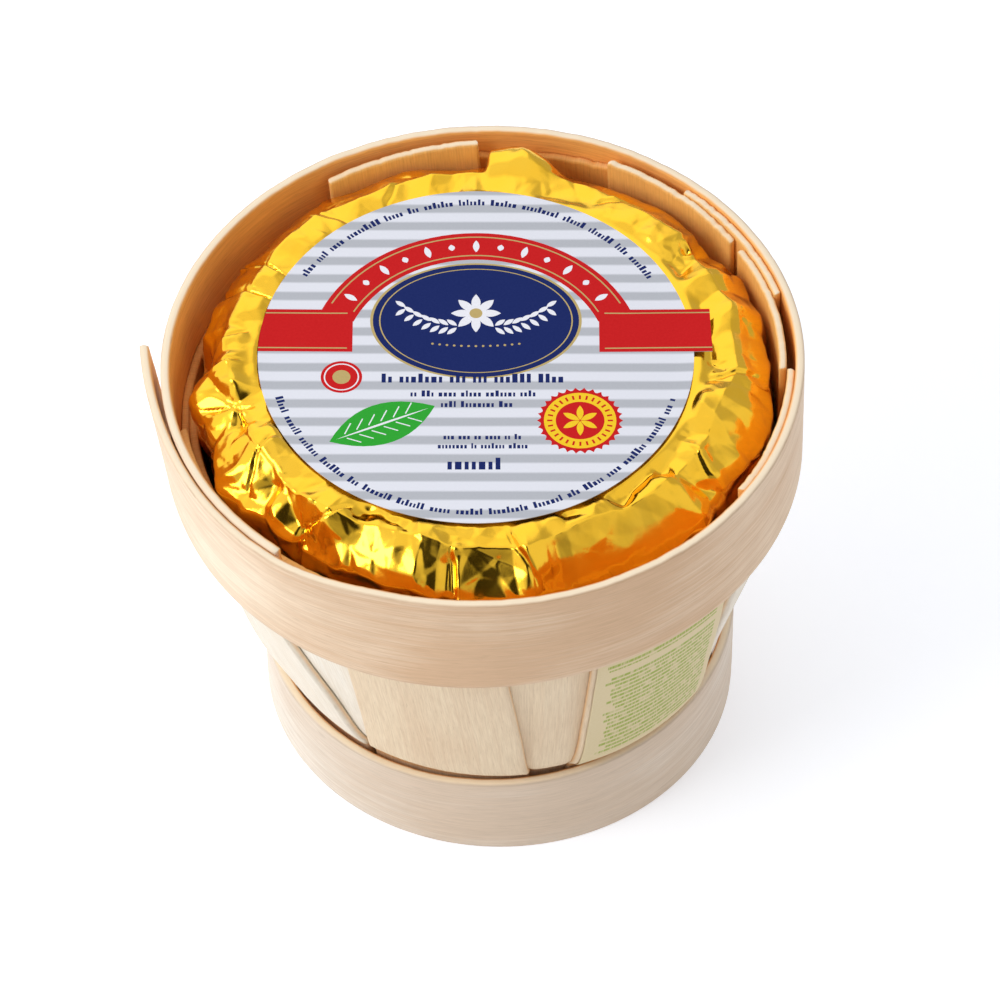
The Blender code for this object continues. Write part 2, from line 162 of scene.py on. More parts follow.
# Butter block in foil
BLOCK_TOP = 0.0717
BLOCK_TOP_FLAT_RADIUS = 0.0350
BLOCK_TOP_RADIUS = 0.0411
BLOCK_EDGE_DROP = 0.0070
BLOCK_BOTTOM_ROUND = 0.0030
BLOCK_WALL_CLEARANCE = 0.0005
PLEATS_START_RADIUS = 0.0325
PLEATS_END_HEIGHT = 0.0540

# Label and sticker
LABEL_RADIUS = 0.0316
LABEL_SHIFT_X = -0.0010
TAB_REACH = 0.0343
TAB_LOW = 0.0004
TAB_HIGH = 0.0085
LABEL_THICKNESS = 0.12 * MM
STICKER_STRIP = 1
STICKER_MARGIN = 0.0003
STICKER_PROUD = 0.00032
STICKER_HEIGHTS = (0.0172, 0.0522)
STRIPE_PITCH = 3.42 * MM
STICKER_LINE_PITCH = 1.32 * MM

# Mesh pitches
BAND_PITCH = 0.8 * MM
SLAT_PITCH = 0.6 * MM
FOIL_COLUMNS = 960
FOIL_ROWS = 90
EDGE_ROUND = 0.12 * MM
EDGE_ROUND_SHARE = 0.28
CORNER_STEPS = 7
NOISE_TABLE = 256

# Pieces that press on each other are drawn this much thicker than their solids
SWELL = 0.1 * MM


# Shape of the basket


def smooth(value):
    """Ease from 0 to 1 with level ends."""
    value = np.clip(value, 0.0, 1.0)
    return value * value * (3.0 - 2.0 * value)


def softplus(value):
    """Return a smooth version of max(value, 0)."""
    return np.logaddexp(0.0, value)


def noise(seed, *places):
    """Smooth noise between -1 and 1 at one or two coordinates, one step per unit."""
    table = np.random.default_rng(seed).uniform(-1.0, 1.0, (NOISE_TABLE, NOISE_TABLE))
    first = np.asarray(places[0], float)
    second = np.asarray(places[1], float) if len(places) > 1 else np.zeros_like(first)
    first, second = np.broadcast_arrays(first, second)
    column = np.floor(first).astype(int)
    row = np.floor(second).astype(int)
    across = smooth(first - column)
    along = smooth(second - row)
    low = table[column % NOISE_TABLE, row % NOISE_TABLE] * (1.0 - across)
    low = low + table[(column + 1) % NOISE_TABLE, row % NOISE_TABLE] * across
    high = table[column % NOISE_TABLE, (row + 1) % NOISE_TABLE] * (1.0 - across)
    high = high + table[(column + 1) % NOISE_TABLE, (row + 1) % NOISE_TABLE] * across
    return low * (1.0 - along) + high * along


def wall_radius(height, bow=0.0):
    """Radius of the outer face of the outer slats at a height."""
    low = LOWER_BAND_RADIUS - LOWER_BAND_THICKNESS - GAP
    high = UPPER_BAND_RADIUS_BOTTOM - UPPER_BAND_THICKNESS - GAP
    slope = (high - low) / (FLARE_END - LOWER_BAND_TOUCH)
    foot = low - slope * (LOWER_BAND_TOUCH - FLARE_START)
    rise = softplus((height - FLARE_START) / FLARE_BEND)
    rise -= softplus((height - FLARE_END) / FLARE_BEND)
    band_share = (height - UPPER_BAND_BOTTOM) / (RIM_HEIGHT - UPPER_BAND_BOTTOM)
    taper = UPPER_BAND_RADIUS_TOP - UPPER_BAND_RADIUS_BOTTOM
    share = (height - LOWER_BAND_TOUCH) / (UPPER_BAND_BOTTOM - LOWER_BAND_TOUCH)
    bulge = bow * np.sin(np.pi * np.sqrt(np.clip(share, 0.0, 1.0)))
    return foot + slope * rise * FLARE_BEND + taper * np.maximum(band_share, 0.0) + bulge


def settle(points):
    """Bend true points to the left and press them oval, more so near the rim."""
    x, y, z = np.moveaxis(points, -1, 0)
    rise = z / RIM_HEIGHT
    angle = np.arctan2(y, x) - math.radians(OVAL_ANGLE)
    swell = 1.0 + OVAL / UPPER_BAND_RADIUS_TOP * rise * np.cos(2.0 * angle)
    return np.stack((x * swell - LEAN_AT_RIM * rise * rise, y * swell, z), axis=-1)


def turned(x, y, z, angle):
    """Points turned about the vertical axis by angles in degrees."""
    cosine = np.cos(np.radians(angle))
    sine = np.sin(np.radians(angle))
    x, y, z = np.broadcast_arrays(x, y, z)
    return np.stack(np.broadcast_arrays(x * cosine - y * sine, x * sine + y * cosine, z), -1)


def run_along(points):
    """Distance of each point of a line from its first point, along the line."""
    steps = np.linalg.norm(np.diff(points, axis=0), axis=1)
    return np.concatenate(([0.0], np.cumsum(steps)))


def paired(first, second):
    """Pairs of the values of two grids that fit each other."""
    return np.stack(np.broadcast_arrays(first, second), axis=-1)


def low_band_edge(turn):
    """Height of the tilted top edge of the low band at an angle in radians."""
    return LOWER_BAND_TOP + LOWER_BAND_TILT * np.cos(turn)


def skewed(skew, height):
    """How many degrees a skewed slat has turned at a height."""
    return skew * smooth((height - LOWER_BAND_TOUCH) / (UPPER_BAND_BOTTOM - LOWER_BAND_TOUCH))


# Meshes


def add_piece(name, points, faces, materials, slot, node):
    """Make one mesh piece that stands for a CAD node and rides with the basket."""
    mesh = bpy.data.meshes.new(name)
    mesh.from_pydata(points.tolist(), [], faces)
    mesh.shade_smooth()
    for material in materials:
        mesh.materials.append(material)
    piece = bpy.data.objects.new(name, mesh)
    bpy.context.scene.collection.objects.link(piece)
    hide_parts(node)
    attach(piece, BODY)
    return piece


def set_attribute(mesh, name, kind, values):
    """Store one value for each point of a mesh."""
    field = {"FLOAT": "value", "FLOAT_VECTOR": "vector"}[kind]
    attribute = mesh.attributes.new(name, kind, "POINT")
    attribute.data.foreach_set(field, np.asarray(values, np.float32).ravel())


def quad_faces(rows, columns):
    """Corner numbers of the faces of a grid."""
    corner = np.arange(rows - 1)[:, None] * columns + np.arange(columns - 1)[None, :]
    corner = corner.ravel()
    return np.stack((corner, corner + 1, corner + columns + 1, corner + columns), axis=1)


def round_border(front, back):
    """Pull the border of both faces of a sheet together, so that its edges are rounded."""
    for edge in (np.s_[0, :], np.s_[-1, :], np.s_[:, 0], np.s_[:, -1]):
        outer = front[edge].copy()
        inner = back[edge].copy()
        front[edge] = outer + (inner - outer) * EDGE_ROUND_SHARE
        back[edge] = inner + (outer - inner) * EDGE_ROUND_SHARE


def make_sheet(name, front, back, grain, seed, material, slot, painted_shade=(0.0, 0.0), cut=0.0):
    """Close two matching grids into one thin piece of veneer or paper.

    grain holds for each point how far it is along and across the strip. The painted shade values say
    how much painted shade, warmed by painted light reflected from the foil, its front and its back
    take inside the basket, and cut how far it is a cut edge, painted pale, which on the tops is also
    painted light.
    """
    round_border(front, back)
    rows, columns = front.shape[:2]
    points = settle(np.concatenate((front.reshape(-1, 3), back.reshape(-1, 3))))
    offset = rows * columns
    front_faces = quad_faces(rows, columns)
    back_faces = front_faces[:, ::-1] + offset
    border = np.concatenate((
        np.arange(columns),
        np.arange(1, rows) * columns + columns - 1,
        (rows - 1) * columns + np.arange(columns - 2, -1, -1),
        np.arange(rows - 2, 0, -1) * columns,
    ))
    following = np.roll(border, -1)
    side_faces = np.stack((following, border, border + offset, following + offset), axis=1)
    faces = np.concatenate((front_faces, back_faces, side_faces))
    piece = add_piece(name, points, faces.tolist(), [material], slot, name)
    place = np.concatenate((grain, np.full((*grain.shape[:2], 1), seed * 0.37)), axis=2)
    place = place.reshape(-1, 3)
    set_attribute(piece.data, "grain", "FLOAT_VECTOR", np.concatenate((place, place)))
    # Painted inside shade for the front and the back, and the pale cut colour that paints light on
    # tops
    inner = [np.broadcast_to(share, (rows, columns)).ravel() for share in painted_shade]
    cut = np.broadcast_to(cut, (rows, columns)).ravel()
    set_attribute(piece.data, "inner", "FLOAT", np.concatenate(inner))
    set_attribute(piece.data, "cut", "FLOAT", np.concatenate((cut, cut)))


def spread(start, end, pitch):
    """Even places from start to end, with one more just inside each end."""
    count = max(int(round((end - start) / pitch)), 2)
    places = np.linspace(start, end, count + 1)
    return np.concatenate(([start, start + EDGE_ROUND], places[1:-1], [end - EDGE_ROUND, end]))


def fibrous_edge(seed, along, size, bite):
    """Uneven line of a cut veneer edge: fine fibres and a few deeper nicks."""
    fine = noise(seed, along / (0.7 * size), 3.1) + 0.6 * noise(seed + 1, along / (0.25 * size), 7.7)
    slow = noise(seed + 2, along / (6.0 * size), 1.3)
    nicks = np.maximum(noise(seed + 3, along / (1.6 * size), 5.2) - 0.55, 0.0)
    return bite * (0.35 * fine + 0.45 * slow - 2.2 * nicks)


# Bands


def lap_offset(turn, thickness, lap, lift, ease):
    """How far a band stands out at an angle past its free outer end."""
    raised = thickness + GAP
    loose = np.maximum(1.0 - turn / BAND_LIFT_SPAN, 0.0)
    settled = raised * (1.0 - smooth((turn - lap) / ease))
    return np.where(turn < lap, raised + lift * loose * loose, settled)


def make_band(name, low_edge, high_edge, thickness, start, lap, seed, bite, material):
    """Bend one strip of veneer round the basket so that it laps over itself.

    Each edge has its height, radius, the lift of its free end, over how many degrees it
    settles past the lap, and how far it tilts up towards +X.
    """
    span = 360.0 + lap
    circumference = math.radians(span) * low_edge[1]
    along = spread(0.0, circumference, BAND_PITCH)
    up = spread(0.0, high_edge[0] - low_edge[0], SLAT_PITCH)
    turn = along / circumference * span
    angle = start + turn
    edges = []
    for height, radius, lift, ease, tilt in (low_edge, high_edge):
        reach = radius + lap_offset(turn, thickness, lap, lift, ease)
        edges.append((reach, height + tilt * np.cos(np.radians(angle))))
    share = (up / up[-1])[:, None]
    (low_reach, low_height), (high_reach, high_height) = edges
    reach = low_reach + (high_reach - low_reach) * share
    height = low_height + (high_height - low_height) * share
    edge_zone = smooth(1.0 - (up[-1] - up) / (2.0 * MM))[:, None]
    height = height + fibrous_edge(seed, along, 1.5 * MM, bite) * edge_zone
    streaks = noise(seed + 4, along / (34.0 * MM), up[:, None] / (0.8 * MM))
    swell = noise(seed + 5, along / (22.0 * MM), up[:, None] / (9.0 * MM))
    relief = 0.02 * MM * streaks + 0.03 * MM * swell
    front = turned(reach + relief, 0.0, height, angle)
    back = turned(reach + relief - thickness - SWELL, 0.0, height, angle)
    grain = paired(along[None, :], up[:, None])
    # The band's back takes the painted inside shade. Its top edge and its free end take the pale cut
    # colour, which on the top is painted light
    cut = np.zeros((len(up), len(along)))
    cut[-1] = 1.0
    cut[:, 0] = 1.0
    make_sheet(name, front, back, grain, seed, material, "band_wood", (0.0, 1.0), cut)


def make_bands(upper_material, lower_material):
    """High band with its free end at the left, and low band round the foot."""
    make_band(
        "upper_band",
        (UPPER_BAND_BOTTOM, UPPER_BAND_RADIUS_BOTTOM, UPPER_BAND_LIFT_BOTTOM,
         BAND_EASE_BOTTOM, 0.0),
        (RIM_HEIGHT, UPPER_BAND_RADIUS_TOP, UPPER_BAND_LIFT_TOP, BAND_EASE_TOP, 0.0),
        UPPER_BAND_THICKNESS, UPPER_BAND_START, UPPER_BAND_LAP, 11, 0.16 * MM,
        upper_material,
    )
    make_band(
        "lower_band",
        (0.0, LOWER_BAND_RADIUS, LOWER_BAND_LIFT, BAND_EASE_TOP, 0.0),
        (LOWER_BAND_TOP, LOWER_BAND_RADIUS, LOWER_BAND_LIFT, BAND_EASE_TOP, LOWER_BAND_TILT),
        LOWER_BAND_THICKNESS, LOWER_BAND_START, LOWER_BAND_LAP, 23, 0.10 * MM,
        lower_material,
    )


# Slats


def slat_grid(radius, height, offsets, side, angle):
    """Points of a slat's face, one row for each radius and height."""
    reach = np.sqrt(radius * radius - offsets * offsets)
    return turned(side * reach, offsets, height, angle)


def lean_out(height, angle):
    """How far a slat leans out over the low band, just above it."""
    above = height - low_band_edge(np.radians(angle)) - LEAN_OUT_START
    front = smooth(-1.4 * np.sin(np.radians(angle)))
    lean = smooth(above / LEAN_OUT_RISE) * (1.0 - smooth(above / LEAN_OUT_END))
    return LEAN_OUT * front * lean


def wall_grid(inset, widths, upright, side, angle, heights, places, seed):
    """Grid of one face of a slat that stands in the wall, from low to high."""
    drop_clockwise, drop_other, skew, edge_bow, bow = upright
    share = 0.5 + side * places
    bow = bow + (edge_bow - bow) * smooth(1.0 - 2.0 * share)
    top = RIM_HEIGHT - drop_clockwise - (drop_other - drop_clockwise) * share
    jagged = 0.45 * MM if max(drop_clockwise, drop_other) < 1.2 * MM else 0.28 * MM
    top = top + fibrous_edge(seed, places * INNER_SLAT_WIDTH, 1.0 * MM, jagged)
    stretch = (heights - heights[0]) / (heights[-1] - heights[0])
    level = heights[:, None] + (top[None, :] - heights[-1]) * smooth(4.0 * stretch - 3.0)[:, None]
    offsets = widths[:, None] * places[None, :]
    ridges = noise(seed + 1, offsets / (0.9 * MM), level / (40.0 * MM))
    swell = noise(seed + 2, offsets / (6.0 * MM), level / (16.0 * MM))
    relief = 0.02 * MM * ridges + 0.02 * MM * swell
    facing = angle if side > 0.0 else angle + 180.0
    radius = wall_radius(level, bow) - inset + relief + lean_out(level, facing)
    turn = angle + skewed(skew, heights)[:, None]
    return slat_grid(radius, level, offsets, side, turn)


def wall_heights(start):
    """Heights of the rows of a slat in the wall."""
    return spread(start, RIM_HEIGHT, SLAT_PITCH)


def across_places(width):
    """Places across a slat, from -0.5 to 0.5 of its width."""
    return spread(-0.5 * width, 0.5 * width, SLAT_PITCH) / width


def strip_width(height, width):
    """Width of a crossing strip, which is narrower where it bends up."""
    low, high = STRIP_WIDENING
    return STRIP_BASE_WIDTH + (width - STRIP_BASE_WIDTH) * smooth((height - low) / (high - low))


def strip_side(level, inset, swell, width, upright, side, angle, places, seed):
    """One half of a face of a crossing strip, from its bend to its top."""
    bend_radius = CORNER_RADIUS - inset
    bend_start = wall_radius(0.0) - CORNER_RADIUS
    turn = np.radians(np.linspace(0.0, 90.0, CORNER_STEPS))
    radius = (bend_start + bend_radius * np.sin(turn))[:, None]
    height = (level + CORNER_RADIUS - bend_radius * np.cos(turn))[:, None]
    corner = slat_grid(radius, height, STRIP_BASE_WIDTH * places[None, :], side, angle)
    heights = wall_heights(WALL_START)[1:]
    widths = strip_width(heights, width)
    wall = wall_grid(inset + swell, widths, upright, side, angle, heights, places, seed)
    return np.concatenate((corner, wall))


def top_shade(grid):
    """How much painted shade the front and the back of a slat take, and how pale its ends are.

    Painted shade, warmed by painted light reflected from the foil, covers the slat inside the
    basket, and a painted line of shade lies in the crevice at the top edge of the low band. Its side
    edges take half of it. Its ends are painted pale as lit tops at the rim, and deep in the basket
    they take the painted shade of the inside.
    """
    height = grid[..., 2]
    painted_shade = smooth((height - UPPER_BAND_BOTTOM - INSIDE_SHADE_START) / INSIDE_SHADE_RISE)
    edge = low_band_edge(np.arctan2(grid[..., 1], grid[..., 0]))
    # Painted line of shade in the crevice where the slat meets the low band's top edge
    crevice_shade = smooth(1.0 - np.abs(height - edge - 0.1 * MM) / (0.9 * MM))
    painted_shade = np.maximum(painted_shade, 0.8 * crevice_shade)
    side = painted_shade.copy()
    side[:, [0, -1]] = np.maximum(side[:, [0, -1]], 0.5)
    cut = np.zeros(grid.shape[:2])
    # Cut ends painted pale and lit at the rim, fading into the painted shade deeper in the basket
    for row in (0, -1):
        cut[row] = 0.95 * smooth(1.0 - (RIM_HEIGHT - height[row]) / LIT_END_DEPTH)
    return (painted_shade, side), cut


def close_slat(name, faces, along, across, seed, material):
    """Close the two faces of a slat and give it its grain, its painted shade and its pale cut ends
    with painted light.
    """
    painted_shade, cut = top_shade(faces[0])
    grain = paired(along[:, None], across[None, :])
    make_sheet(name, *faces, grain, seed, material, "slat_wood", painted_shade, cut)


def make_cross_strip(index, angle, width, near, far, material):
    """One strip that runs under the butter and stands up at both ends."""
    places = across_places(width)
    seed = 40 + 10 * index
    faces = []
    level = index * LAYER_PITCH
    for inset, swell in ((0.0, -SWELL), (SLAT_THICKNESS, SWELL)):
        left = strip_side(level, inset, swell, width, far, -1.0, angle, places, seed)
        right = strip_side(level, inset, swell, width, near, 1.0, angle, places, seed + 5)
        faces.append(np.concatenate((left[::-1], right)))
    name = f"cross_strip_{index + 1}"
    along = run_along(faces[0][:, len(places) // 2])
    close_slat(name, faces, along, width * places, seed, material)


def make_inner_slat(index, angle, drops, bows, material):
    """One loose slat behind a gap between two outer ones."""
    places = across_places(INNER_SLAT_WIDTH)
    seed = 100 + 10 * index
    heights = wall_heights(INNER_SLAT_FOOT_HEIGHT)
    share = (heights - INNER_SLAT_FOOT_HEIGHT) / (FLARE_END - INNER_SLAT_FOOT_HEIGHT)
    widening = (INNER_SLAT_WIDTH - INNER_SLAT_FOOT_WIDTH) * np.clip(share, 0.0, 1.0)
    widths = INNER_SLAT_FOOT_WIDTH + widening
    upright = (*drops, 0.0, *bows)
    push = SLAT_PUSH * smooth((4.2 * MM - np.abs(widths[:, None] * places)) / (2.2 * MM))
    push = push if index == PUSHED_SLAT else 0.0
    faces = [
        wall_grid(inset - push, widths, upright, 1.0, angle, heights, places, seed)
        for inset in (LAYER_PITCH - SWELL, LAYER_PITCH + SLAT_THICKNESS + SWELL)
    ]
    name = f"inner_slat_{index + 1}"
    close_slat(name, faces, heights, INNER_SLAT_WIDTH * places, seed, material)


def make_slats(pale_wood, warm_wood):
    """Four crossing strips and eight loose slats behind their gaps."""
    for index, (angle, width, near, far) in enumerate(CROSS_STRIPS):
        material = warm_wood if index in WARM_STRIPS else pale_wood
        make_cross_strip(index, angle, width, near, far, material)
    for index, (angle, clockwise, other, *bows) in enumerate(INNER_SLATS):
        material = warm_wood if index in WARM_SLATS else pale_wood
        make_inner_slat(index, angle, (clockwise, other), bows, material)


def make_sticker(material):
    """Paper sticker on the outside of one outer slat, at the front right."""
    angle, width, _, upright = CROSS_STRIPS[STICKER_STRIP]
    heights = spread(*STICKER_HEIGHTS, SLAT_PITCH)
    places = across_places(width)
    widths = strip_width(heights, width) - 2.0 * STICKER_MARGIN
    skew, _, bow = upright[2:]
    turn = angle + skewed(skew, heights)[:, None]
    offsets = widths[:, None] * places[None, :]
    wave = 0.04 * MM * noise(301, offsets / (5.0 * MM), heights[:, None] / (7.0 * MM))
    faces = []
    for proud in (STICKER_PROUD + 0.1 * MM, STICKER_PROUD):
        radius = wall_radius(heights[:, None], bow) + proud + wave
        radius = radius + lean_out(heights[:, None], angle + 180.0)
        faces.append(slat_grid(radius, heights[:, None], offsets, -1.0, turn))
    grain = paired(-offsets, heights[:, None])
    make_sheet("side_sticker", *faces, grain, 3, material, "sticker_paper")


# Foil

# Flat facets pressed into the rounded edge: angle, tilt above the horizontal, depth
FACETS = (
    (5.0, 48.0, 0.0006), (27.0, 42.0, 0.0008), (50.0, 48.0, 0.0005), (69.0, 40.0, 0.0003),
    (95.0, 45.0, 0.0003), (118.0, 50.0, 0.0003), (140.0, 42.0, 0.0005), (157.0, 48.0, 0.0006),
    (176.0, 40.0, 0.0006), (194.0, 52.0, 0.0008), (212.0, 45.0, 0.0011), (232.0, 42.0, 0.0013),
    (250.0, 52.0, 0.0013), (267.0, 44.0, 0.0013), (299.0, 38.0, 0.0024), (322.0, 50.0, 0.0010),
    (342.0, 45.0, 0.0013),
)

# Pleats: angle, half width along the edge, height (minus is a valley), and how sharply
# one side falls (0 even, 1 a step on the clockwise side)
PLEATS = (
    (8.0, 0.0030, -0.0006, 0.0), (21.0, 0.0045, -0.0007, 0.3), (35.0, 0.0022, -0.0014, 0.0),
    (48.0, 0.0050, 0.0005, 0.5), (60.0, 0.0035, -0.0007, 0.2), (80.0, 0.0070, 0.0011, 0.8),
    (97.0, 0.0040, -0.0006, 0.3), (112.0, 0.0045, 0.0007, 0.7), (128.0, 0.0035, -0.0008, 0.0),
    (140.0, 0.0040, 0.0005, 0.4), (152.0, 0.0020, -0.0012, 0.5), (160.0, 0.0022, -0.0012, 0.5),
    (170.0, 0.0030, 0.0009, 0.0), (179.0, 0.0028, -0.0013, 0.3), (189.0, 0.0030, 0.0010, 0.2),
    (198.0, 0.0026, -0.0012, 0.0), (208.0, 0.0032, 0.0009, 0.4), (218.0, 0.0028, -0.0010, 0.2),
    (229.0, 0.0026, -0.0016, 0.8), (250.0, 0.0060, 0.0009, 0.7), (262.0, 0.0020, -0.0012, 0.5),
    (280.0, 0.0036, 0.0018, 0.5), (287.0, 0.0022, -0.0012, 0.2), (320.0, 0.0034, 0.0010, 0.4),
    (332.0, 0.0028, -0.0005, 0.2), (347.0, 0.0045, 0.0009, 0.8), (357.0, 0.0028, -0.0008, 0.0),
)

# Overlapping edges of the folded foil: angle and distance from the middle at both ends,
# how high the upper layer stands, and how far its rise reaches
FOLDS = (
    (151.5, 0.0318, 150.0, 0.0440, 0.0011, 0.0060), (160.5, 0.0318, 160.0, 0.0440, 0.0012, 0.0060),
    (117.0, 0.0322, 109.0, 0.0385, 0.0004, 0.0040), (127.0, 0.0322, 134.0, 0.0400, 0.0003, 0.0040),
    (172.0, 0.0335, 178.0, 0.0420, 0.0005, 0.0030), (183.0, 0.0340, 181.0, 0.0430, 0.0006, 0.0030),
    (196.0, 0.0335, 190.0, 0.0430, 0.0007, 0.0030), (207.0, 0.0330, 214.0, 0.0430, 0.0007, 0.0035),
    (237.0, 0.0330, 228.5, 0.0405, 0.0009, 0.0045), (228.5, 0.0395, 229.5, 0.0500, 0.0009, 0.0030),
    (263.0, 0.0345, 264.0, 0.0480, 0.0006, 0.0045), (276.0, 0.0325, 282.0, 0.0430, 0.0005, 0.0060),
    (331.0, 0.0330, 326.0, 0.0430, 0.0003, 0.0030), (353.0, 0.0325, 358.0, 0.0410, 0.0004, 0.0035),
    (34.0, 0.0325, 40.0, 0.0390, 0.0004, 0.0035), (62.0, 0.0335, 50.0, 0.0400, 0.0004, 0.0040),
)

# Pricked hole in the foil: angle, distance from the middle, width and depth
DIMPLE = (35.5, 0.0362, 0.0010, 0.0008)

# Raised flap of foil at the back: its ends, its distances from the middle, and how far
# it stands up and out
FLAP_ANGLES = (71.0, 90.0)
FLAP_START = 35.0 * MM
FLAP_END = 42.6 * MM
FLAP_UP = 2.6 * MM
FLAP_OUT = 1.5 * MM

# Random creases: spacing, how much longer the facets are outwards, height, seed
CREASES = (
    (9.5 * MM, 0.8, 1.05 * MM, 5),
    (4.6 * MM, 0.85, 0.60 * MM, 6),
    (2.4 * MM, 1.0, 0.22 * MM, 7),
)

# How crumpled the foil is round the block: angle, share outside, share by the label
CRUMPLING = (
    (0.0, 1.0, 1.3), (30.0, 0.9, 1.1), (50.0, 0.7, 0.9), (75.0, 0.6, 0.7),
    (110.0, 0.8, 1.0), (145.0, 0.7, 1.0), (163.0, 0.8, 0.5), (172.0, 1.3, 0.5),
    (195.0, 1.5, 0.8), (215.0, 1.4, 1.1), (235.0, 0.9, 1.2), (262.0, 0.9, 1.2),
    (282.0, 0.7, 1.1), (292.0, 0.35, 1.2), (315.0, 0.35, 1.5), (328.0, 1.1, 1.5),
    (345.0, 0.95, 1.4), (360.0, 1.0, 1.3),
)

# How much of the pleats' height the foil takes
PLEAT_SHARE = 0.5

# How full the rounded edge is: 2 is an ellipse. At the back it is fuller, between angles
# where that starts, is full, is full still and has ended
EDGE_FULLNESS = 2.4
BACK_FULLNESS = 4.5
BACK_ANGLES = (25.0, 50.0, 145.0, 165.0)

# The foil's rows are close together from a distance from the middle, over the edge and
# down to a height. Farther in and farther down there are a few wide rows
TOP_ROW_SHARES = (0.23, 0.5, 0.72, 0.84)
FINE_START = 0.0300
FINE_END_HEIGHT = 0.0560
LOW_ROW_HEIGHTS = (0.0500, 0.0420, 0.0300, 0.0180, 0.0130)

# Height at which the foil's relief has died out, over how much it grows above that, and
# how far from the middle the relief by the label, the folds and the outer relief start
RELIEF_END_HEIGHT = 0.0520
RELIEF_RISE = 4.0 * MM
RELIEF_START = 31.3 * MM
FOLDS_START = 31.5 * MM
OUTER_RELIEF_START = 33.0 * MM


def block_wall(heights):
    """Points of the block's side at some heights."""
    inset = 2.0 * LAYER_PITCH + BLOCK_WALL_CLEARANCE
    return [(min(wall_radius(height) - inset, BLOCK_TOP_RADIUS), height) for height in heights]


def block_profile(fullness):
    """Half outline of the wrapped block and its distance outwards along the foil."""
    top = [(share * BLOCK_TOP_FLAT_RADIUS, BLOCK_TOP) for share in TOP_ROW_SHARES]
    curve = [(radius, BLOCK_TOP) for radius in np.linspace(FINE_START, BLOCK_TOP_FLAT_RADIUS, 20)]
    edge_reach = BLOCK_TOP_RADIUS - BLOCK_TOP_FLAT_RADIUS
    for turn in np.radians(np.linspace(0.0, 90.0, 60))[1:]:
        out = math.sin(turn) ** (2.0 / fullness)
        down = 1.0 - max(math.cos(turn), 0.0) ** (2.0 / fullness)
        radius = BLOCK_TOP_FLAT_RADIUS + edge_reach * out
        curve.append((radius, BLOCK_TOP - BLOCK_EDGE_DROP * down))
    curve += block_wall(np.linspace(BLOCK_TOP - BLOCK_EDGE_DROP, FINE_END_HEIGHT, 40)[1:])
    curve = np.array(curve)
    steps = run_along(curve)
    even = np.linspace(0.0, steps[-1], FOIL_ROWS)
    fine = np.stack([np.interp(even, steps, curve[:, axis]) for axis in (0, 1)], axis=1)
    low_radius = block_wall((0.0,))[0][0]
    low = block_wall(LOW_ROW_HEIGHTS)
    low.append((low_radius, BLOCK_BASE + BLOCK_BOTTOM_ROUND))
    low.append((low_radius - BLOCK_BOTTOM_ROUND, BLOCK_BASE))
    outline = np.concatenate((top, fine, low))
    return outline, outline[0, 0] + run_along(outline)


def outline_normals(outline):
    """Outward direction at each point of the block's outline."""
    run = np.gradient(outline, axis=0)
    normals = np.stack((-run[..., 1], run[..., 0]), axis=-1)
    return normals / np.linalg.norm(normals, axis=-1, keepdims=True)


def turn_between(angle, centre):
    """Smallest turn in degrees from a centre to an angle."""
    return (angle - centre + 180.0) % 360.0 - 180.0


def pleat_height(angle):
    """Sum of the pleats' relief at angles round the block."""
    total = np.zeros_like(angle)
    for centre, width, height, step in PLEATS:
        distance = np.radians(turn_between(angle, centre)) * BLOCK_TOP_RADIUS
        reach = np.where(distance < 0.0, width * (1.0 - 0.7 * step), width)
        total += height * np.maximum(1.0 - np.abs(distance) / reach, 0.0)
    return total


def pleat_share(radius, height):
    """How strongly the pleats show at places on the outline."""
    run = BLOCK_TOP_RADIUS - PLEATS_START_RADIUS
    above = smooth(1.6 * (radius - PLEATS_START_RADIUS) / run)
    run = BLOCK_TOP - BLOCK_EDGE_DROP - PLEATS_END_HEIGHT
    below = smooth((height - PLEATS_END_HEIGHT) / run)
    return np.where(height > BLOCK_TOP - BLOCK_EDGE_DROP, above, below)


def press_facets(radius, height, angle):
    """Push points of the block in where flat facets cut it."""
    reach = BLOCK_TOP_RADIUS - BLOCK_TOP_FLAT_RADIUS
    for centre, tilt, depth in FACETS:
        cosine = np.cos(np.radians(angle - centre))
        out = math.cos(math.radians(tilt))
        up = math.sin(math.radians(tilt))
        edge = math.hypot(reach * out, BLOCK_EDGE_DROP * up)
        plane = BLOCK_TOP_FLAT_RADIUS * out + (BLOCK_TOP - BLOCK_EDGE_DROP) * up + edge - depth
        excess = radius * cosine * out + height * up - plane
        excess = np.where(cosine < 0.5, 0.0, np.maximum(excess, 0.0))
        radius = radius - excess * out * cosine
        height = height - excess * up
    return radius, height


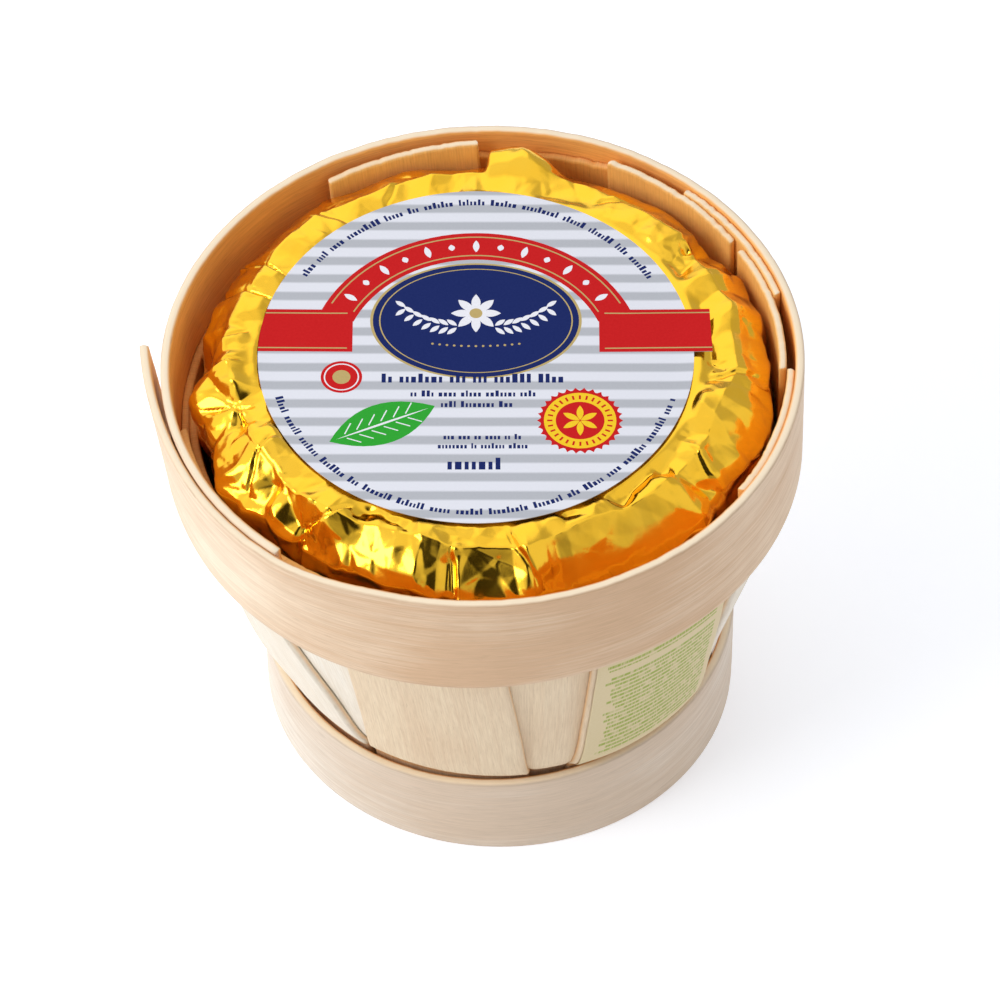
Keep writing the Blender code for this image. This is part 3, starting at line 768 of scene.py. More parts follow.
def creased_heights(arc, distance, spacing, stretch, seed):
    """Random flat facets that meet in sharp creases, as heights from -1 to 1."""
    random = np.random.default_rng(seed)
    around = 2.0 * math.pi * BLOCK_TOP_RADIUS
    columns = int(round(around / spacing))
    rows = int(round((distance[-1] - distance[0]) / (spacing * stretch))) + 3
    jitter = random.uniform(-0.42, 0.42, (rows, columns, 2))
    values = random.uniform(-1.0, 1.0, (rows, columns))
    points = []
    heights = []
    for row in range(rows):
        for column in range(-2, columns + 2):
            shift = jitter[row, column % columns]
            place = (column + 0.5 * (row % 2) + shift[0]) * around / columns
            points.append((place, distance[0] + (row - 1 + shift[1]) * spacing * stretch))
            heights.append(values[row, column % columns])
    triangles = delaunay_2d_cdt([Vector(point) for point in points], [], [], 0, 1e-9)[2]
    points = np.array(points)
    heights = np.array(heights)
    result = np.zeros((len(distance), len(arc)))
    for triangle in triangles:
        corners = points[triangle]
        left, low = corners.min(axis=0)
        right, high = corners.max(axis=0)
        first, last = np.searchsorted(arc, (left, right))
        bottom, top = np.searchsorted(distance, (low, high))
        if first == last or bottom == top:
            continue
        sides = np.array((corners[1] - corners[0], corners[2] - corners[0])).T
        aside = arc[None, first:last] - corners[0, 0]
        offset = paired(aside, distance[bottom:top, None] - corners[0, 1])
        weights = offset @ np.linalg.inv(sides).T
        inside = (weights.min(axis=-1) >= -1e-9) & (weights.sum(axis=-1) <= 1.0 + 1e-9)
        level = heights[triangle[0]] + weights @ (heights[triangle[1:]] - heights[triangle[0]])
        block = result[bottom:top, first:last]
        block[inside] = level[inside]
    return result


def fold_heights(arc, distance):
    """Steps where one layer of foil laps over the next, with a dark line below each."""
    around = 2.0 * math.pi * BLOCK_TOP_RADIUS
    total = np.zeros((len(distance), len(arc)))
    groove = 0.45 * MM
    for start_angle, start, end_angle, end, height, reach in FOLDS:
        begin = np.array((math.radians(start_angle) * BLOCK_TOP_RADIUS, start))
        run = np.array((math.radians(end_angle) * BLOCK_TOP_RADIUS, end)) - begin
        length = np.linalg.norm(run)
        run /= length
        x = (arc[None, :] - begin[0] + 0.5 * around) % around - 0.5 * around
        y = distance[:, None] - begin[1]
        along = x * run[0] + y * run[1]
        aside = x * run[1] - y * run[0]
        aside = aside + 0.35 * MM * noise(int(start_angle), along / (2.2 * MM), 0.5)
        fade = smooth(along / (2.0 * MM)) * smooth((length - along) / (2.0 * MM))
        layer = smooth(aside / (0.7 * MM)) * np.maximum(1.0 - aside / reach, 0.0)
        crack = 1.0 - smooth(np.abs(aside + 0.4 * groove) / groove)
        total += fade * height * (layer - 0.5 * crack)
    return total


def dimple_height(angle, distance):
    """Small pricked hole in the foil, with a raised ring round it."""
    centre, reach, width, depth = DIMPLE
    aside = np.radians(angle[None, :] - centre) * reach
    away = np.hypot(aside, distance[:, None] - reach) / width
    ring = smooth(1.0 - np.abs(away - 1.3) / 0.7)
    return 0.35 * depth * ring - depth * smooth(1.0 - away)


def flap_share(angle, distance):
    """How much of the flap's rise shows at angles and distances from the middle."""
    start, end = FLAP_ANGLES
    around = smooth((angle - start) / 6.0) * smooth((end - angle) / 1.6)
    taller = 0.65 + 0.35 * (angle - start) / (end - start)
    outwards = smooth((distance - FLAP_START) / (5.5 * MM)) * smooth((FLAP_END - distance) / MM)
    return np.where(around > 0.0, around * taller, 0.0)[None, :] * outwards[:, None]


def make_foil(material):
    """Butter block in creased foil, as one closed piece."""
    angle = 360.0 * np.arange(FOIL_COLUMNS) / FOIL_COLUMNS
    arc = np.radians(angle) * BLOCK_TOP_RADIUS
    edge, distance = block_profile(EDGE_FULLNESS)
    back = block_profile(BACK_FULLNESS)[0]
    turn_start, full_start, full_end, turn_end = BACK_ANGLES
    share = smooth((angle - turn_start) / (full_start - turn_start))
    share = share * smooth((turn_end - angle) / (turn_end - full_end))
    outline = edge[:, None] * (1.0 - share[:, None]) + back[:, None] * share[:, None]
    normals = outline_normals(outline)
    below = smooth((edge[:, 1] - RELIEF_END_HEIGHT) / RELIEF_RISE)
    outside = below * smooth((distance - OUTER_RELIEF_START) / (3.5 * MM))
    inside_share = below * smooth((distance - RELIEF_START) / (1.8 * MM))
    places, outer, inner = np.array(CRUMPLING).T
    crumpling = np.interp(angle, places, inner) * (inside_share - outside)[:, None]
    crumpling = crumpling + np.interp(angle, places, outer) * outside[:, None]
    relief = np.zeros((len(distance), len(arc)))
    for spacing, stretch, depth, seed in CREASES:
        relief += depth * creased_heights(arc, distance, spacing, stretch, seed)
    relief = relief * crumpling
    relief += dimple_height(angle, distance)
    relief += fold_heights(arc, distance) * smooth((distance - FOLDS_START) / MM)[:, None]
    relief += PLEAT_SHARE * pleat_height(angle) * pleat_share(*edge.T)[:, None]
    radius, height = press_facets(outline[..., 0], outline[..., 1], angle[None, :])
    flap = flap_share(angle, distance)
    radius = radius + normals[..., 0] * relief + FLAP_OUT * flap
    height = height + normals[..., 1] * relief + FLAP_UP * flap
    points = settle(turned(radius, 0.0, height, angle[None, :]))
    rows = len(distance)
    step = np.arange(FOIL_COLUMNS)
    following = (step + 1) % FOIL_COLUMNS
    low = np.arange(rows - 1)[:, None] * FOIL_COLUMNS
    high = low + FOIL_COLUMNS
    faces = np.stack((low + step, high + step, high + following, low + following), axis=-1)
    faces = faces.reshape(-1, 4).tolist()
    top = rows * FOIL_COLUMNS
    last = (rows - 1) * FOIL_COLUMNS
    for here, there in zip(step.tolist(), following.tolist()):
        faces.append((top, here, there))
        faces.append((top + 1, last + there, last + here))
    ends = settle(np.array(((0.0, 0.0, BLOCK_TOP), (0.0, 0.0, BLOCK_BASE))))
    points = np.concatenate((points.reshape(-1, 3), ends))
    add_piece("foil_wrap", points, faces, [material], "gold_foil", "foil_block")


# Label


def polar(radius, turn, x=0.0, y=0.0):
    """Points at a distance and an angle from a place."""
    turn = np.radians(turn)
    return np.stack((x + radius * np.cos(turn), y + radius * np.sin(turn)), axis=-1)


def placed(points, x, y, turn):
    """Points turned by an angle and moved to a place."""
    cosine, sine = math.cos(math.radians(turn)), math.sin(math.radians(turn))
    return points @ np.array(((cosine, sine), (-sine, cosine))) + (x, y)


def circle(x, y, radius, squeeze=1.0, steps=72):
    """Outline of a circle, or of an ellipse that is squeezed in height."""
    return polar(radius, np.arange(steps) * 360.0 / steps) * (1.0, squeeze) + (x, y)


def scalloped(x, y, radius, bite, lobes):
    """Outline of a disc with a scalloped edge."""
    turn = np.arange(lobes * 8) * 45.0 / lobes
    return polar(radius - bite * np.abs(np.sin(np.radians(0.5 * lobes * turn))), turn, x, y)


def sector(inner, outer, start, end, x=0.0, y=0.0):
    """Outline of a part of a ring between two angles."""
    steps = max(int((end - start) / 4.0), 1) + 1
    turn = np.linspace(start, end, steps)
    return np.concatenate((polar(outer, turn, x, y), polar(inner, turn[::-1], x, y)))


def bar(x, y, width, height, turn=0.0):
    """Outline of a rectangle round its middle, turned by an angle."""
    corners = np.array(((-0.5, -0.5), (0.5, -0.5), (0.5, 0.5), (-0.5, 0.5)))
    return placed(corners * (width, height), x, y, turn)


def leaf(x, y, length, width, turn):
    """Outline of a pointed leaf round its middle, turned by an angle."""
    share = np.linspace(-1.0, 1.0, 13)
    half = 0.5 * width * (1.0 - share * share)
    upper = np.stack((0.5 * length * share, half), axis=1)
    return placed(np.concatenate((upper, (upper * (1.0, -1.0))[-2:0:-1])), x, y, turn)


def greeked_words(random, length, spare, height, letters, gap):
    """Place, width and height of each small upright mark in a line of greeked words."""
    place = 0.0
    while place < length - spare:
        for _ in range(random.integers(*letters)):
            width = random.uniform(0.24, 0.46) * height
            tall = height if random.random() < 0.3 else 0.66 * height
            if place + width > length:
                break
            yield place, width, tall
            place += width + 0.2 * height
        place += gap * height


def greeked_line(random, x, y, length, height):
    """A straight line of greeked print from the left."""
    words = greeked_words(random, length, height, height, (2, 9), 0.45)
    return [
        bar(x + place + 0.5 * width, y - 0.5 * (height - tall), width, tall)
        for place, width, tall in words
    ]


def greeked_arc(random, radius, height, start, end, facing_in):
    """Greeked print that follows the label's edge, with its tops in or out."""
    degree = math.radians(1.0) * radius
    marks = []
    words = greeked_words(random, (end - start) * degree, degree, height, (3, 10), 0.6)
    for place, width, tall in words:
        low = radius + (height - tall if facing_in else 0.0)
        turn = start + place / degree
        marks.append(sector(low, low + tall, turn, turn + width / degree))
    return marks


def label_outline():
    """Edge of the label: a circle with a square tab on the right."""
    top = math.degrees(math.asin(TAB_HIGH / LABEL_RADIUS))
    bottom = 360.0 + math.degrees(math.asin(TAB_LOW / LABEL_RADIUS))
    edge = polar(LABEL_RADIUS, np.linspace(top, bottom, 181))
    tab = np.array(((TAB_REACH, TAB_LOW), (TAB_REACH - 0.3 * MM, TAB_HIGH)))
    return np.concatenate((edge, tab))


# Each printed field has its outline in millimetres and its ink


def print_ribbon():
    """Red ribbon that runs across the label and arches over the plaque."""
    middle = -1.0
    yield sector(19.2, 24.4, 22.0, 158.0, y=middle), "red"
    for radius in (19.9, 23.5):
        yield sector(radius, radius + 0.22, 27.0, 153.0, y=middle), "gold"
    for x in (-26.9, 26.9):
        yield bar(x, 4.45, 18.0, 8.1), "red"
        for y in (1.1, 7.8):
            yield bar(x, y, 16.4, 0.22), "gold"
    for step in range(13):
        turn = 33.0 + 9.5 * step
        length = 2.3 if step % 2 == 0 else 1.2
        yield leaf(*polar(21.8, turn, y=middle), length, 0.95, turn), "white"


def print_plaque():
    """Navy oval with a flower between two sprays of leaves."""
    for radius, line, squeeze in ((15.4, 0.4, 0.72), (14.1, 0.2, 0.71)):
        yield circle(0.0, 6.4, radius, squeeze), "gold"
        yield circle(0.0, 6.4, radius - line, squeeze), "navy"
    for side in (-1.0, 1.0):
        for step in range(7):
            x = side * (3.5 + 1.25 * step)
            y = 5.2 + 0.10 * step * step
            for lean, shift in ((-42.0, -0.8), (38.0, 0.8)):
                yield leaf(x, y + shift, 1.9, 0.75, 90.0 - side * (90.0 - lean)), "white"
    flower = 7.8
    for turn in np.arange(0.0, 360.0, 45.0):
        yield leaf(*polar(2.0, turn, y=flower), 3.3, 1.35, turn), "white"
    yield circle(0.0, flower, 0.95, steps=24), "gold"
    for step in range(-6, 7):
        yield circle(1.05 * step, 1.5 + 0.0125 * step * step, 0.2, steps=8), "gold"


def print_leaf():
    """Green leaf with white veins at the lower left."""
    x, y, lean = -13.4, -13.2, 24.0
    yield leaf(x, y, 16.5, 7.4, lean), "green"
    yield leaf(x, y, 14.5, 0.35, lean), "white"
    for side in (-1.0, 1.0):
        for step in range(6):
            reach = side * (1.35 - 0.07 * abs(step - 2.5))
            place = placed(np.array((-4.9 + 1.9 * step, reach)), x, y, lean)
            yield bar(*place, 2.2, 0.18, lean + side * 44.0), "white"


def print_seals():
    """Scalloped seal at the lower right, and a small one at the left."""
    x, y = 15.0, -12.6
    yield scalloped(x, y, 6.2, 0.55, 30), "red"
    yield circle(x, y, 5.2), "gold_bright"
    yield circle(x, y, 3.5), "red"
    for turn in np.arange(30.0, 360.0, 60.0):
        yield leaf(*polar(1.45, turn, x, y), 2.7, 1.0, turn), "gold_bright"
    for step in range(28):
        turn = 360.0 / 28 * step
        yield bar(*polar(4.35, turn, x, y), 0.75, 0.3, turn), "red"
    for radius, ink in ((3.0, "red"), (2.55, "white"), (2.35, "red"), (1.3, "gold")):
        yield circle(-19.4, -4.4, radius, steps=48), ink


# Greeked lines: left end, middle height, length and height
GREEKED_LINES = (
    (-13.6, -4.6, 27.0, 1.7),
    (-9.4, -7.5, 18.5, 1.15),
    (-5.0, -9.5, 10.4, 1.15),
    (-4.6, -15.6, 11.6, 1.0),
    (-5.4, -17.3, 13.4, 1.0),
    (-4.0, -20.6, 8.4, 2.2),
)


def label_print():
    """Outlines and inks of the printed fields, in the order in which they are printed."""
    random = np.random.default_rng(77)
    fields = [*print_ribbon(), *print_plaque(), *print_leaf(), *print_seals()]
    marks = []
    for line in GREEKED_LINES:
        marks += greeked_line(random, *line)
    for start, end, facing_in in ((30.0, 150.0, False), (196.0, 344.0, True)):
        marks += greeked_arc(random, 28.9, 1.15, start, end, facing_in)
    fields += [(outline, "navy") for outline in marks]
    return [(outline * MM, ink) for outline, ink in fields]


def inside(points, outline):
    """Which of many points lie within a closed outline."""
    x, y = points[:, :1], points[:, 1:]
    here = outline[None, :, :]
    there = np.roll(outline, -1, axis=0)[None, :, :]
    crosses = (here[..., 1] > y) != (there[..., 1] > y)
    run = np.where(crosses, there[..., 1] - here[..., 1], 1.0)
    reach = here[..., 0] + (y - here[..., 1]) / run * (there[..., 0] - here[..., 0])
    return (crosses & (x < reach)).sum(axis=1) % 2 == 1


def make_label(inks):
    """Round paper label, cut along the edges of its printed fields."""
    outline = label_outline()
    fields = label_print()
    spacing = 1.3 * MM
    count = int(TAB_REACH / spacing) + 1
    row, column = np.mgrid[-count:count + 1, -count:count + 1]
    fill = np.stack((column * spacing + 0.5 * spacing * (row % 2), row * spacing), axis=-1)
    fill = fill.reshape(-1, 2)
    fill = fill[inside(fill, outline) & (np.hypot(*fill.T) < LABEL_RADIUS - 0.5 * MM)]
    points = [*outline, *fill]
    edges = [(index, (index + 1) % len(outline)) for index in range(len(outline))]
    for shape, _ in fields:
        start = len(points)
        points += list(shape)
        edges += [(start + step, start + (step + 1) % len(shape)) for step in range(len(shape))]
    cut = delaunay_2d_cdt([Vector(point) for point in points], edges, [], 0, 1e-7)
    flat = np.array([tuple(point) for point in cut[0]])
    triangles = np.array(cut[2])
    centres = flat[triangles].mean(axis=1)
    keep = inside(centres, outline)
    triangles, centres = triangles[keep], centres[keep]
    used, triangles = np.unique(triangles, return_inverse=True)
    triangles = triangles.reshape(-1, 3)
    flat = flat[used]
    ink_names = list(inks)
    colour = np.zeros(len(triangles), int)
    for shape, ink in fields:
        colour[inside(centres, shape)] = ink_names.index(ink)
    first, second, third = (flat[triangles[:, corner]] for corner in range(3))
    area = np.cross(second - first, third - first)
    triangles[area < 0.0] = triangles[area < 0.0][:, ::-1]

    reach = np.hypot(flat[:, 0], flat[:, 1])
    wave = noise(401, flat[:, 0] / (13.0 * MM) + 40.0, flat[:, 1] / (11.0 * MM) + 40.0)
    turn = np.degrees(np.arctan2(flat[:, 1], flat[:, 0])) / 22.0 + 20.0
    lift = (0.09 + 0.06 * noise(402, turn)) * smooth((reach - 0.0292) / (2.6 * MM))
    lift = lift + 0.10 * smooth((reach - LABEL_RADIUS) / (2.5 * MM))
    level = LABEL_TOP - 0.10 * MM + 0.04 * MM * wave + MM * lift
    shift = LABEL_SHIFT_X - LEAN_AT_RIM
    upper = np.stack((flat[:, 0] + shift, flat[:, 1], level), axis=1)
    lower = upper - (0.0, 0.0, LABEL_THICKNESS)
    offset = len(flat)
    pairs = np.concatenate((triangles[:, [0, 1]], triangles[:, [1, 2]], triangles[:, [2, 0]]))
    known = {tuple(pair) for pair in pairs.tolist()}
    rim = [(a, b) for a, b in pairs.tolist() if (b, a) not in known]
    faces = triangles.tolist() + (triangles[:, ::-1] + offset).tolist()
    faces += [(b, a, a + offset, b + offset) for a, b in rim]
    points = np.concatenate((upper, lower))
    piece = add_piece("paper_label", points, faces, inks.values(), "label_paper", "label")
    piece.data.set_sharp_from_angle(angle=math.radians(40.0))
    numbers = np.zeros(len(faces), np.int32)
    numbers[: len(colour)] = colour
    piece.data.polygons.foreach_set("material_index", numbers)
    place = np.concatenate((flat, np.zeros((offset, 1))), axis=1)
    set_attribute(piece.data, "grain", "FLOAT_VECTOR", np.concatenate((place, place)))


# Materials


class Nodes:
    """Short ways to add nodes to a material or to the world."""

    def __init__(self, tree):
        self.tree = tree

    def put(self, value, socket):
        """Give an input a number, a colour, or the output of another node."""
        if isinstance(value, bpy.types.NodeSocket):
            self.tree.links.new(value, socket)
        else:
            socket.default_value = value

    def node(self, kind, *values, **settings):
        """Add a node, give it its settings, and fill its first inputs."""
        node = self.tree.nodes.new(kind)
        for name, value in settings.items():
            setattr(node, name, value)
        for value, socket in zip(values, node.inputs):
            self.put(value, socket)
        return node

    def attribute(self, name):
        """Read a value that the mesh holds for each point."""
        return self.node("ShaderNodeAttribute", attribute_name=name)

    def maths(self, operation, *values):
        """Work out one number from others."""
        return self.node("ShaderNodeMath", *values, operation=operation).outputs[0]

    def times(self, first, second):
        """Multiply two numbers."""
        return self.maths("MULTIPLY", first, second)

    def vector_maths(self, operation, first, second, output):
        """Work out a vector or a number from two vectors."""
        node = self.node("ShaderNodeVectorMath", first, second, operation=operation)
        return node.outputs[output]

    def noise(self, place, cells, detail=2.0, roughness=0.5, distortion=0.0):
        """Noise from 0 to 1, with how many cells per metre it has along each axis."""
        place = self.vector_maths("MULTIPLY", place, cells, "Vector")
        node = self.node("ShaderNodeTexNoise")
        values = {
            "Vector": place,
            "Scale": 1.0,
            "Detail": detail,
            "Roughness": roughness,
            "Distortion": distortion,
        }
        for name, value in values.items():
            self.put(value, node.inputs[name])
        return node.outputs["Fac"]

    def ramp(self, factor, *stops):
        """Colours along a factor: each stop has its place and its colour."""
        node = self.node("ShaderNodeValToRGB", factor)
        elements = node.color_ramp.elements
        while len(elements) < len(stops):
            elements.new(0.5)
        for element, (place, colour) in zip(elements, stops):
            element.position = place
            element.color = (*colour, 1.0)
        return node.outputs["Color"]

    def between(self, value, low, high, out_low=0.0, out_high=1.0):
        """Map a range of a value to another, held at its ends."""
        node = self.node("ShaderNodeMapRange", value, low, high, out_low, out_high)
        return node.outputs["Result"]

    def mix(self, factor, first, second, blend="MIX"):
        """Mix two colours."""
        node = self.node("ShaderNodeMix", data_type="RGBA", blend_type=blend)
        self.put(factor, node.inputs[0])
        for value, socket in ((first, node.inputs[6]), (second, node.inputs[7])):
            self.put((*value, 1.0) if isinstance(value, tuple) else value, socket)
        return node.outputs[2]


class Surface(Nodes):
    """A Principled material."""

    def __init__(self, name, roughness, metallic=0.0, specular=0.5):
        self.material = bpy.data.materials.new(name)
        self.material.use_nodes = True
        super().__init__(self.material.node_tree)
        self.shader = self.tree.nodes["Principled BSDF"]
        self.shader.inputs["Roughness"].default_value = roughness
        self.shader.inputs["Metallic"].default_value = metallic
        self.shader.inputs["Specular IOR Level"].default_value = specular

    def colour(self, value):
        """Give the surface its colour."""
        self.put(value, self.shader.inputs["Base Color"])

    def bump(self, height, distance, strength=1.0):
        """Give the surface a fine relief of its own."""
        node = self.node("ShaderNodeBump")
        self.put(height, node.inputs["Height"])
        node.inputs["Distance"].default_value = distance
        node.inputs["Strength"].default_value = strength
        self.put(node.outputs["Normal"], self.shader.inputs["Normal"])


# Painted shade, warmed by painted light reflected from the foil, tints the basket's inside
# orange-brown. Cut ends of
# veneer are painted paler: partly the raw cut wood, partly painted light on the tops that face up
PAINTED_SHADE_AND_REFLECTION_TINT = (1.18, 0.73, 0.28)
CUT_AND_LIT_TOP_COLOUR = (0.90, 0.76, 0.57)


def wood_material(name, pale, tan, streaks, tan_span=None):
    """Raw peeled veneer with its grain along the strip.

    streaks is how many there are per metre across the strip, and tan_span where along it
    the wood turns darker: start, full, full, end.
    """
    surface = Surface(name, 0.6, specular=0.25)
    place = surface.attribute("grain").outputs["Vector"]
    fibre = surface.noise(place, (190.0, 4600.0, 40.0), 3.0, 0.6)
    streak = surface.noise(place, (10.0, streaks, 40.0), 4.0, 0.6, 0.3)
    cloud = surface.noise(place, (40.0, 90.0, 40.0), 2.0, 0.5)
    pore = surface.noise(place, (380.0, 6500.0, 40.0), 1.0, 0.5)
    pore = surface.between(pore, 0.64, 0.78)
    knot = surface.noise(place, (170.0, 330.0, 40.0), 0.0)
    knot = surface.between(knot, 0.84, 0.92)
    share = surface.times(surface.between(streak, 0.36, 0.70), 0.32)
    share = surface.maths("ADD", share, surface.between(cloud, 0.30, 0.70, 0.0, 0.45))
    if tan_span:
        along = surface.node("ShaderNodeSeparateXYZ", place).outputs["X"]
        start, full_start, full_end, end = tan_span
        rise = surface.between(along, start, full_start)
        zone = surface.times(rise, surface.between(along, end, full_end))
        share = surface.maths("ADD", share, surface.times(zone, 0.6))
    colour = surface.mix(share, pale, tan)
    dark = tuple(0.70 * value for value in tan)
    colour = surface.mix(surface.between(fibre, 0.35, 0.75, 0.0, 0.42), colour, dark)
    colour = surface.mix(surface.times(pore, 0.42), colour, dark)
    colour = surface.mix(surface.times(knot, 0.5), colour, dark)
    # Painted shade, warmed by painted light reflected from the foil, inside the basket
    inner = surface.attribute("inner").outputs["Fac"]
    colour = surface.mix(inner, colour, surface.mix(1.0, colour, PAINTED_SHADE_AND_REFLECTION_TINT, "MULTIPLY"))
    # Pale cut ends: partly the raw cut wood, partly painted light on the tops
    cut = surface.attribute("cut").outputs["Fac"]
    surface.colour(surface.mix(cut, colour, CUT_AND_LIT_TOP_COLOUR))
    rough = surface.between(fibre, 0.3, 0.7, 0.5, 0.7)
    surface.put(rough, surface.shader.inputs["Roughness"])
    relief = surface.maths("SUBTRACT", fibre, surface.times(pore, 0.8))
    surface.bump(relief, 0.05 * MM, 0.5)
    return surface.material


def foil_material():
    """Gold lacquered aluminium foil with fine wrinkles."""
    surface = Surface("gold_foil_creased", 0.16, 1.0)
    place = surface.node("ShaderNodeTexCoord").outputs["Object"]
    broad = surface.noise(place, (170.0, 170.0, 170.0), 2.0, 0.5, 0.8)
    fine = surface.noise(place, (700.0, 700.0, 700.0), 2.0, 0.5, 0.6)
    surface.colour(surface.mix(broad, (1.0, 0.56, 0.030), (1.0, 0.62, 0.055)))
    surface.put(surface.between(broad, 0.3, 0.7, 0.10, 0.20), surface.shader.inputs["Roughness"])
    relief = surface.maths("ADD", surface.times(fine, 0.35), broad)
    surface.bump(relief, 0.10 * MM, 0.5)
    return surface.material


def paper_relief(surface, place):
    """Give paper its faint fibres."""
    fibre = surface.noise(place, (1500.0, 1500.0, 1.0), 3.0, 0.6)
    surface.bump(fibre, 0.02 * MM, 0.5)


def print_mottle(surface, place):
    """Fine mottle of printed paper, from 0 to 1."""
    return surface.noise(place, (2600.0, 2600.0, 1.0), 2.0, 0.6)


def ink_material(name, colour):
    """One printed colour on the label, with the mottle of its dots."""
    surface = Surface(name, 0.5, specular=0.06)
    place = surface.attribute("grain").outputs["Vector"]
    mottle = print_mottle(surface, place)
    paler = tuple(min(1.0, value * 1.08 + 0.006) for value in colour)
    darker = tuple(value * 0.92 for value in colour)
    surface.colour(surface.mix(mottle, darker, paler))
    paper_relief(surface, place)
    return surface.material


def striped_paper():
    """Coated white paper with soft grey stripes across it."""
    surface = Surface("label_paper_striped", 0.38, specular=0.3)
    place = surface.attribute("grain").outputs["Vector"]
    height = surface.node("ShaderNodeSeparateXYZ", place).outputs["Y"]
    turns = surface.times(height, 2.0 * math.pi / STRIPE_PITCH)
    share = surface.between(surface.maths("SINE", turns), -0.25, 0.45)
    mottle = print_mottle(surface, place)
    white = surface.mix(mottle, (0.71, 0.73, 0.81), (0.75, 0.77, 0.85))
    grey = surface.mix(mottle, (0.42, 0.44, 0.49), (0.46, 0.48, 0.53))
    surface.colour(surface.mix(share, white, grey))
    paper_relief(surface, place)
    return surface.material


def sticker_material():
    """Beige paper with a block of fine greeked green lines."""
    surface = Surface("sticker_paper_printed", 0.5, specular=0.25)
    place = surface.attribute("grain").outputs["Vector"]
    split = surface.node("ShaderNodeSeparateXYZ", place)
    across, up = split.outputs["X"], split.outputs["Y"]
    line = surface.maths("DIVIDE", up, STICKER_LINE_PITCH)
    within = surface.maths("FRACT", line)
    number = surface.maths("FLOOR", line)
    row_place = surface.node("ShaderNodeCombineXYZ", across, number, 0.0).outputs[0]
    words = surface.noise(row_place, (620.0, 17.3, 1.0), 1.0)
    letters = surface.noise(row_place, (4200.0, 31.7, 1.0), 0.0)
    ragged = surface.noise(row_place, (0.0, 7.9, 1.0), 0.0)
    edge = surface.between(ragged, 0.3, 0.7, -9.9 * MM, -7.6 * MM)
    ink = surface.between(surface.maths("PINGPONG", within, 0.5), 0.12, 0.30)
    limits = (
        surface.between(words, 0.36, 0.42, 0.35, 1.0),
        surface.between(letters, 0.30, 0.55, 0.35, 1.0),
        surface.maths("GREATER_THAN", across, edge),
        surface.maths("LESS_THAN", across, 9.9 * MM),
        surface.maths("GREATER_THAN", up, 19.5 * MM),
        surface.maths("LESS_THAN", up, 50.0 * MM),
    )
    for limit in limits:
        ink = surface.times(ink, limit)
    gap = surface.maths("COMPARE", up, 47.2 * MM, 0.9 * MM)
    ink = surface.times(ink, surface.maths("SUBTRACT", 1.0, gap))
    mottle = print_mottle(surface, place)
    paper = surface.mix(mottle, (0.61, 0.49, 0.27), (0.67, 0.55, 0.33))
    surface.colour(surface.mix(ink, paper, (0.28, 0.35, 0.03)))
    paper_relief(surface, place)
    return surface.material


# Room, light and camera


def make_key_light():
    """Soft round light at the front left that faces the pack."""
    light = bpy.data.lights.new("key", "AREA")
    light.shape = "DISK"
    light.size = 0.36
    light.energy = 2.0
    light.color = (1.0, 0.99, 0.97)
    holder = bpy.data.objects.new("key", light)
    bpy.context.scene.collection.objects.link(holder)
    holder.location = (-0.50, -0.27, 0.50)
    towards = Vector((0.0, 0.0, 0.05)) - holder.location
    holder.rotation_euler = towards.to_track_quat("-Z", "Y").to_euler()
    holder.visible_camera = False


def make_studio():
    """White tent that is bright at the left and above, and dim towards the front.

    It has a dark patch above the front, which gives the foil its dark glints.
    """
    world = bpy.data.worlds.new("studio")
    bpy.context.scene.world = world
    world.use_nodes = True
    sky = Nodes(world.node_tree)
    direction = sky.node("ShaderNodeTexCoord").outputs["Generated"]
    split = sky.node("ShaderNodeSeparateXYZ", direction)
    shade = sky.ramp(
        split.outputs["Z"],
        (0.00, (0.30, 0.29, 0.28)),
        (0.25, (0.42, 0.41, 0.40)),
        (0.55, (0.80, 0.80, 0.81)),
        (1.00, (0.95, 0.95, 0.97)),
    )
    front = sky.between(split.outputs["Y"], -0.35, -0.85, 0.0, 0.6)
    shade = sky.mix(front, shade, (0.30, 0.30, 0.30))
    shade = sky.mix(sky.between(split.outputs["X"], -0.40, -0.85), shade, (1.15, 1.14, 1.12))
    shade = sky.mix(sky.between(split.outputs["X"], 0.45, 0.90), shade, (0.88, 0.88, 0.90))
    right_back = sky.times(
        sky.between(split.outputs["X"], 0.15, 0.50),
        sky.between(split.outputs["Y"], 0.05, 0.40),
    )
    shade = sky.mix(right_back, shade, (0.55, 0.55, 0.56))
    left_back = (-0.30, 0.74, 0.60)
    nearness = sky.vector_maths("DOT_PRODUCT", direction, left_back, "Value")
    shade = sky.mix(sky.between(nearness, 0.80, 0.94), shade, (1.24, 1.24, 1.22))
    front_above = (0.0, -math.cos(CAMERA_ELEVATION), math.sin(CAMERA_ELEVATION))
    nearness = sky.vector_maths("DOT_PRODUCT", direction, front_above, "Value")
    shade = sky.mix(sky.between(nearness, 0.90, 0.97), shade, (0.03, 0.027, 0.025))
    sky.put(shade, world.node_tree.nodes["Background"].inputs["Color"])


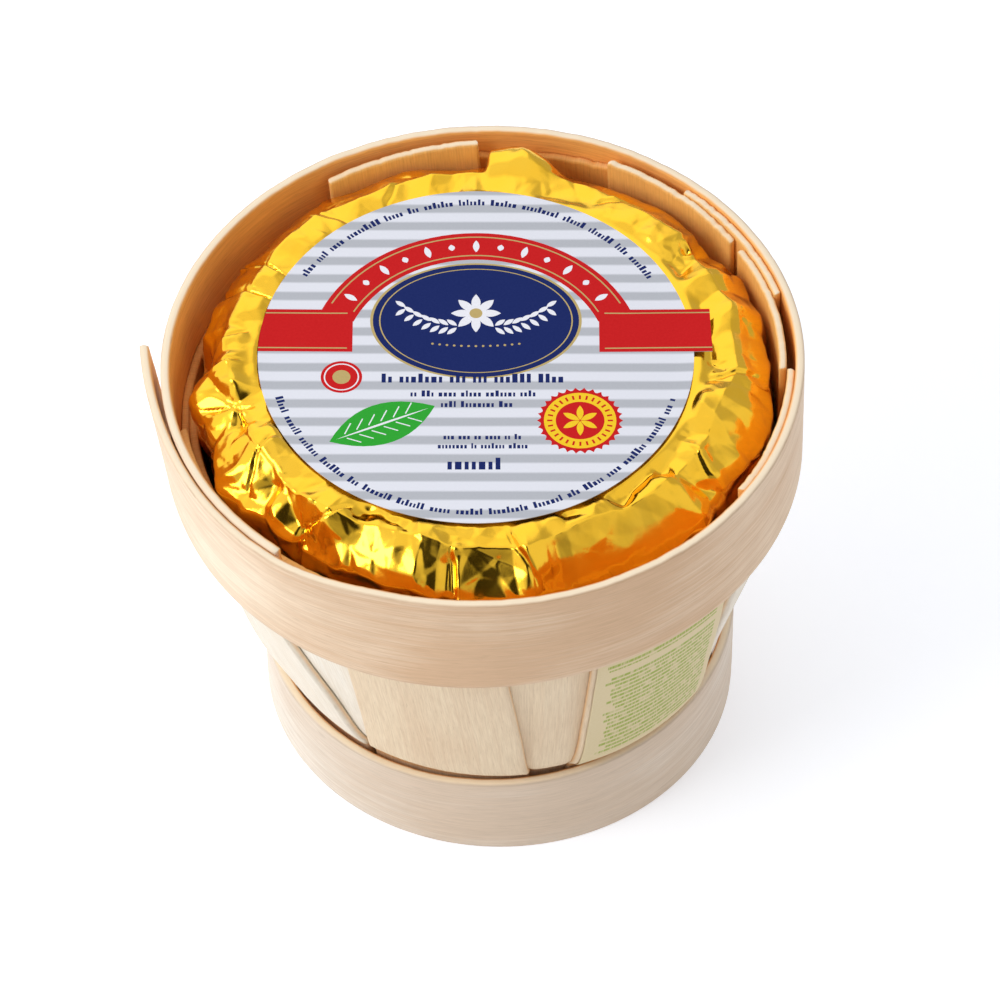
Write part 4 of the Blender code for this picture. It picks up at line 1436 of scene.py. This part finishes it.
def make_floor():
    """Plain white floor."""
    reach = 8.0
    mesh = bpy.data.meshes.new("floor")
    corners = [(x * reach, y * reach, 0.0) for x, y in ((-1, -1), (1, -1), (1, 1), (-1, 1))]
    mesh.from_pydata(corners, [], [(0, 1, 2, 3)])
    surface = Surface("floor_white", 0.7)
    surface.colour((0.80, 0.83, 0.90, 1.0))
    surface.put((1.0, 1.0, 1.0, 1.0), surface.shader.inputs["Emission Color"])
    surface.put(0.36, surface.shader.inputs["Emission Strength"])
    mesh.materials.append(surface.material)
    floor = bpy.data.objects.new("floor", mesh)
    bpy.context.scene.collection.objects.link(floor)
    floor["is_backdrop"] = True


# The camera was fitted to the photograph's outlines. It looks down at the pack from the
# front, and its distance is that of a long lens
CAMERA_ELEVATION = math.radians(50.73)
CAMERA_UNIT = 0.047
CAMERA_DISTANCE = 20.0 * CAMERA_UNIT
CAMERA_TARGET = Vector((0.001 * CAMERA_UNIT, 0.0, 0.825 * CAMERA_UNIT))
CAMERA_SENSOR = 36.0
CAMERA_LENS = 227.24


def make_camera():
    """Camera at the photograph's viewing angle."""
    forward = Vector((0.0, math.cos(CAMERA_ELEVATION), -math.sin(CAMERA_ELEVATION)))
    data = bpy.data.cameras.new("camera")
    data.sensor_width = CAMERA_SENSOR
    data.lens = CAMERA_LENS
    data.clip_start = 0.01
    camera = bpy.data.objects.new("camera", data)
    bpy.context.scene.collection.objects.link(camera)
    camera.location = CAMERA_TARGET - forward * CAMERA_DISTANCE
    camera.rotation_euler = (math.radians(90.0) - CAMERA_ELEVATION, 0.0, 0.0)
    bpy.context.scene.camera = camera


make_camera()
make_studio()
make_floor()
make_key_light()
bpy.context.scene.view_settings.view_transform = "Standard"

high_band_wood = wood_material(
    "high_band_veneer", (0.92, 0.78, 0.60), (0.66, 0.44, 0.27), 1500.0,
    (0.035, 0.068, 0.098, 0.170),
)
low_band_wood = wood_material(
    "low_band_veneer", (0.84, 0.78, 0.69), (0.67, 0.53, 0.40), 1500.0,
    (0.078, 0.112, 0.150, 0.250),
)
pale_slat_wood = wood_material(
    "pale_slat_veneer", (0.84, 0.79, 0.69), (0.73, 0.61, 0.46), 1900.0
)
warm_slat_wood = wood_material(
    "warm_slat_veneer", (0.80, 0.66, 0.46), (0.66, 0.47, 0.30), 1900.0
)
inks = {
    "paper": striped_paper(),
    "white": ink_material("ink_white", (0.80, 0.81, 0.88)),
    "red": ink_material("ink_red", (0.56, 0.008, 0.010)),
    "navy": ink_material("ink_navy", (0.006, 0.017, 0.12)),
    "gold": ink_material("ink_gold", (0.50, 0.38, 0.15)),
    "gold_bright": ink_material("ink_yellow", (0.88, 0.58, 0.02)),
    "green": ink_material("ink_green", (0.025, 0.36, 0.03)),
}
make_bands(high_band_wood, low_band_wood)
make_slats(pale_slat_wood, warm_slat_wood)
make_foil(foil_material())
make_label(inks)
make_sticker(sticker_material())

sizes = {"cad": cad_box, "visual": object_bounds()}
{name: [list(corner) for corner in box] for name, box in sizes.items()}
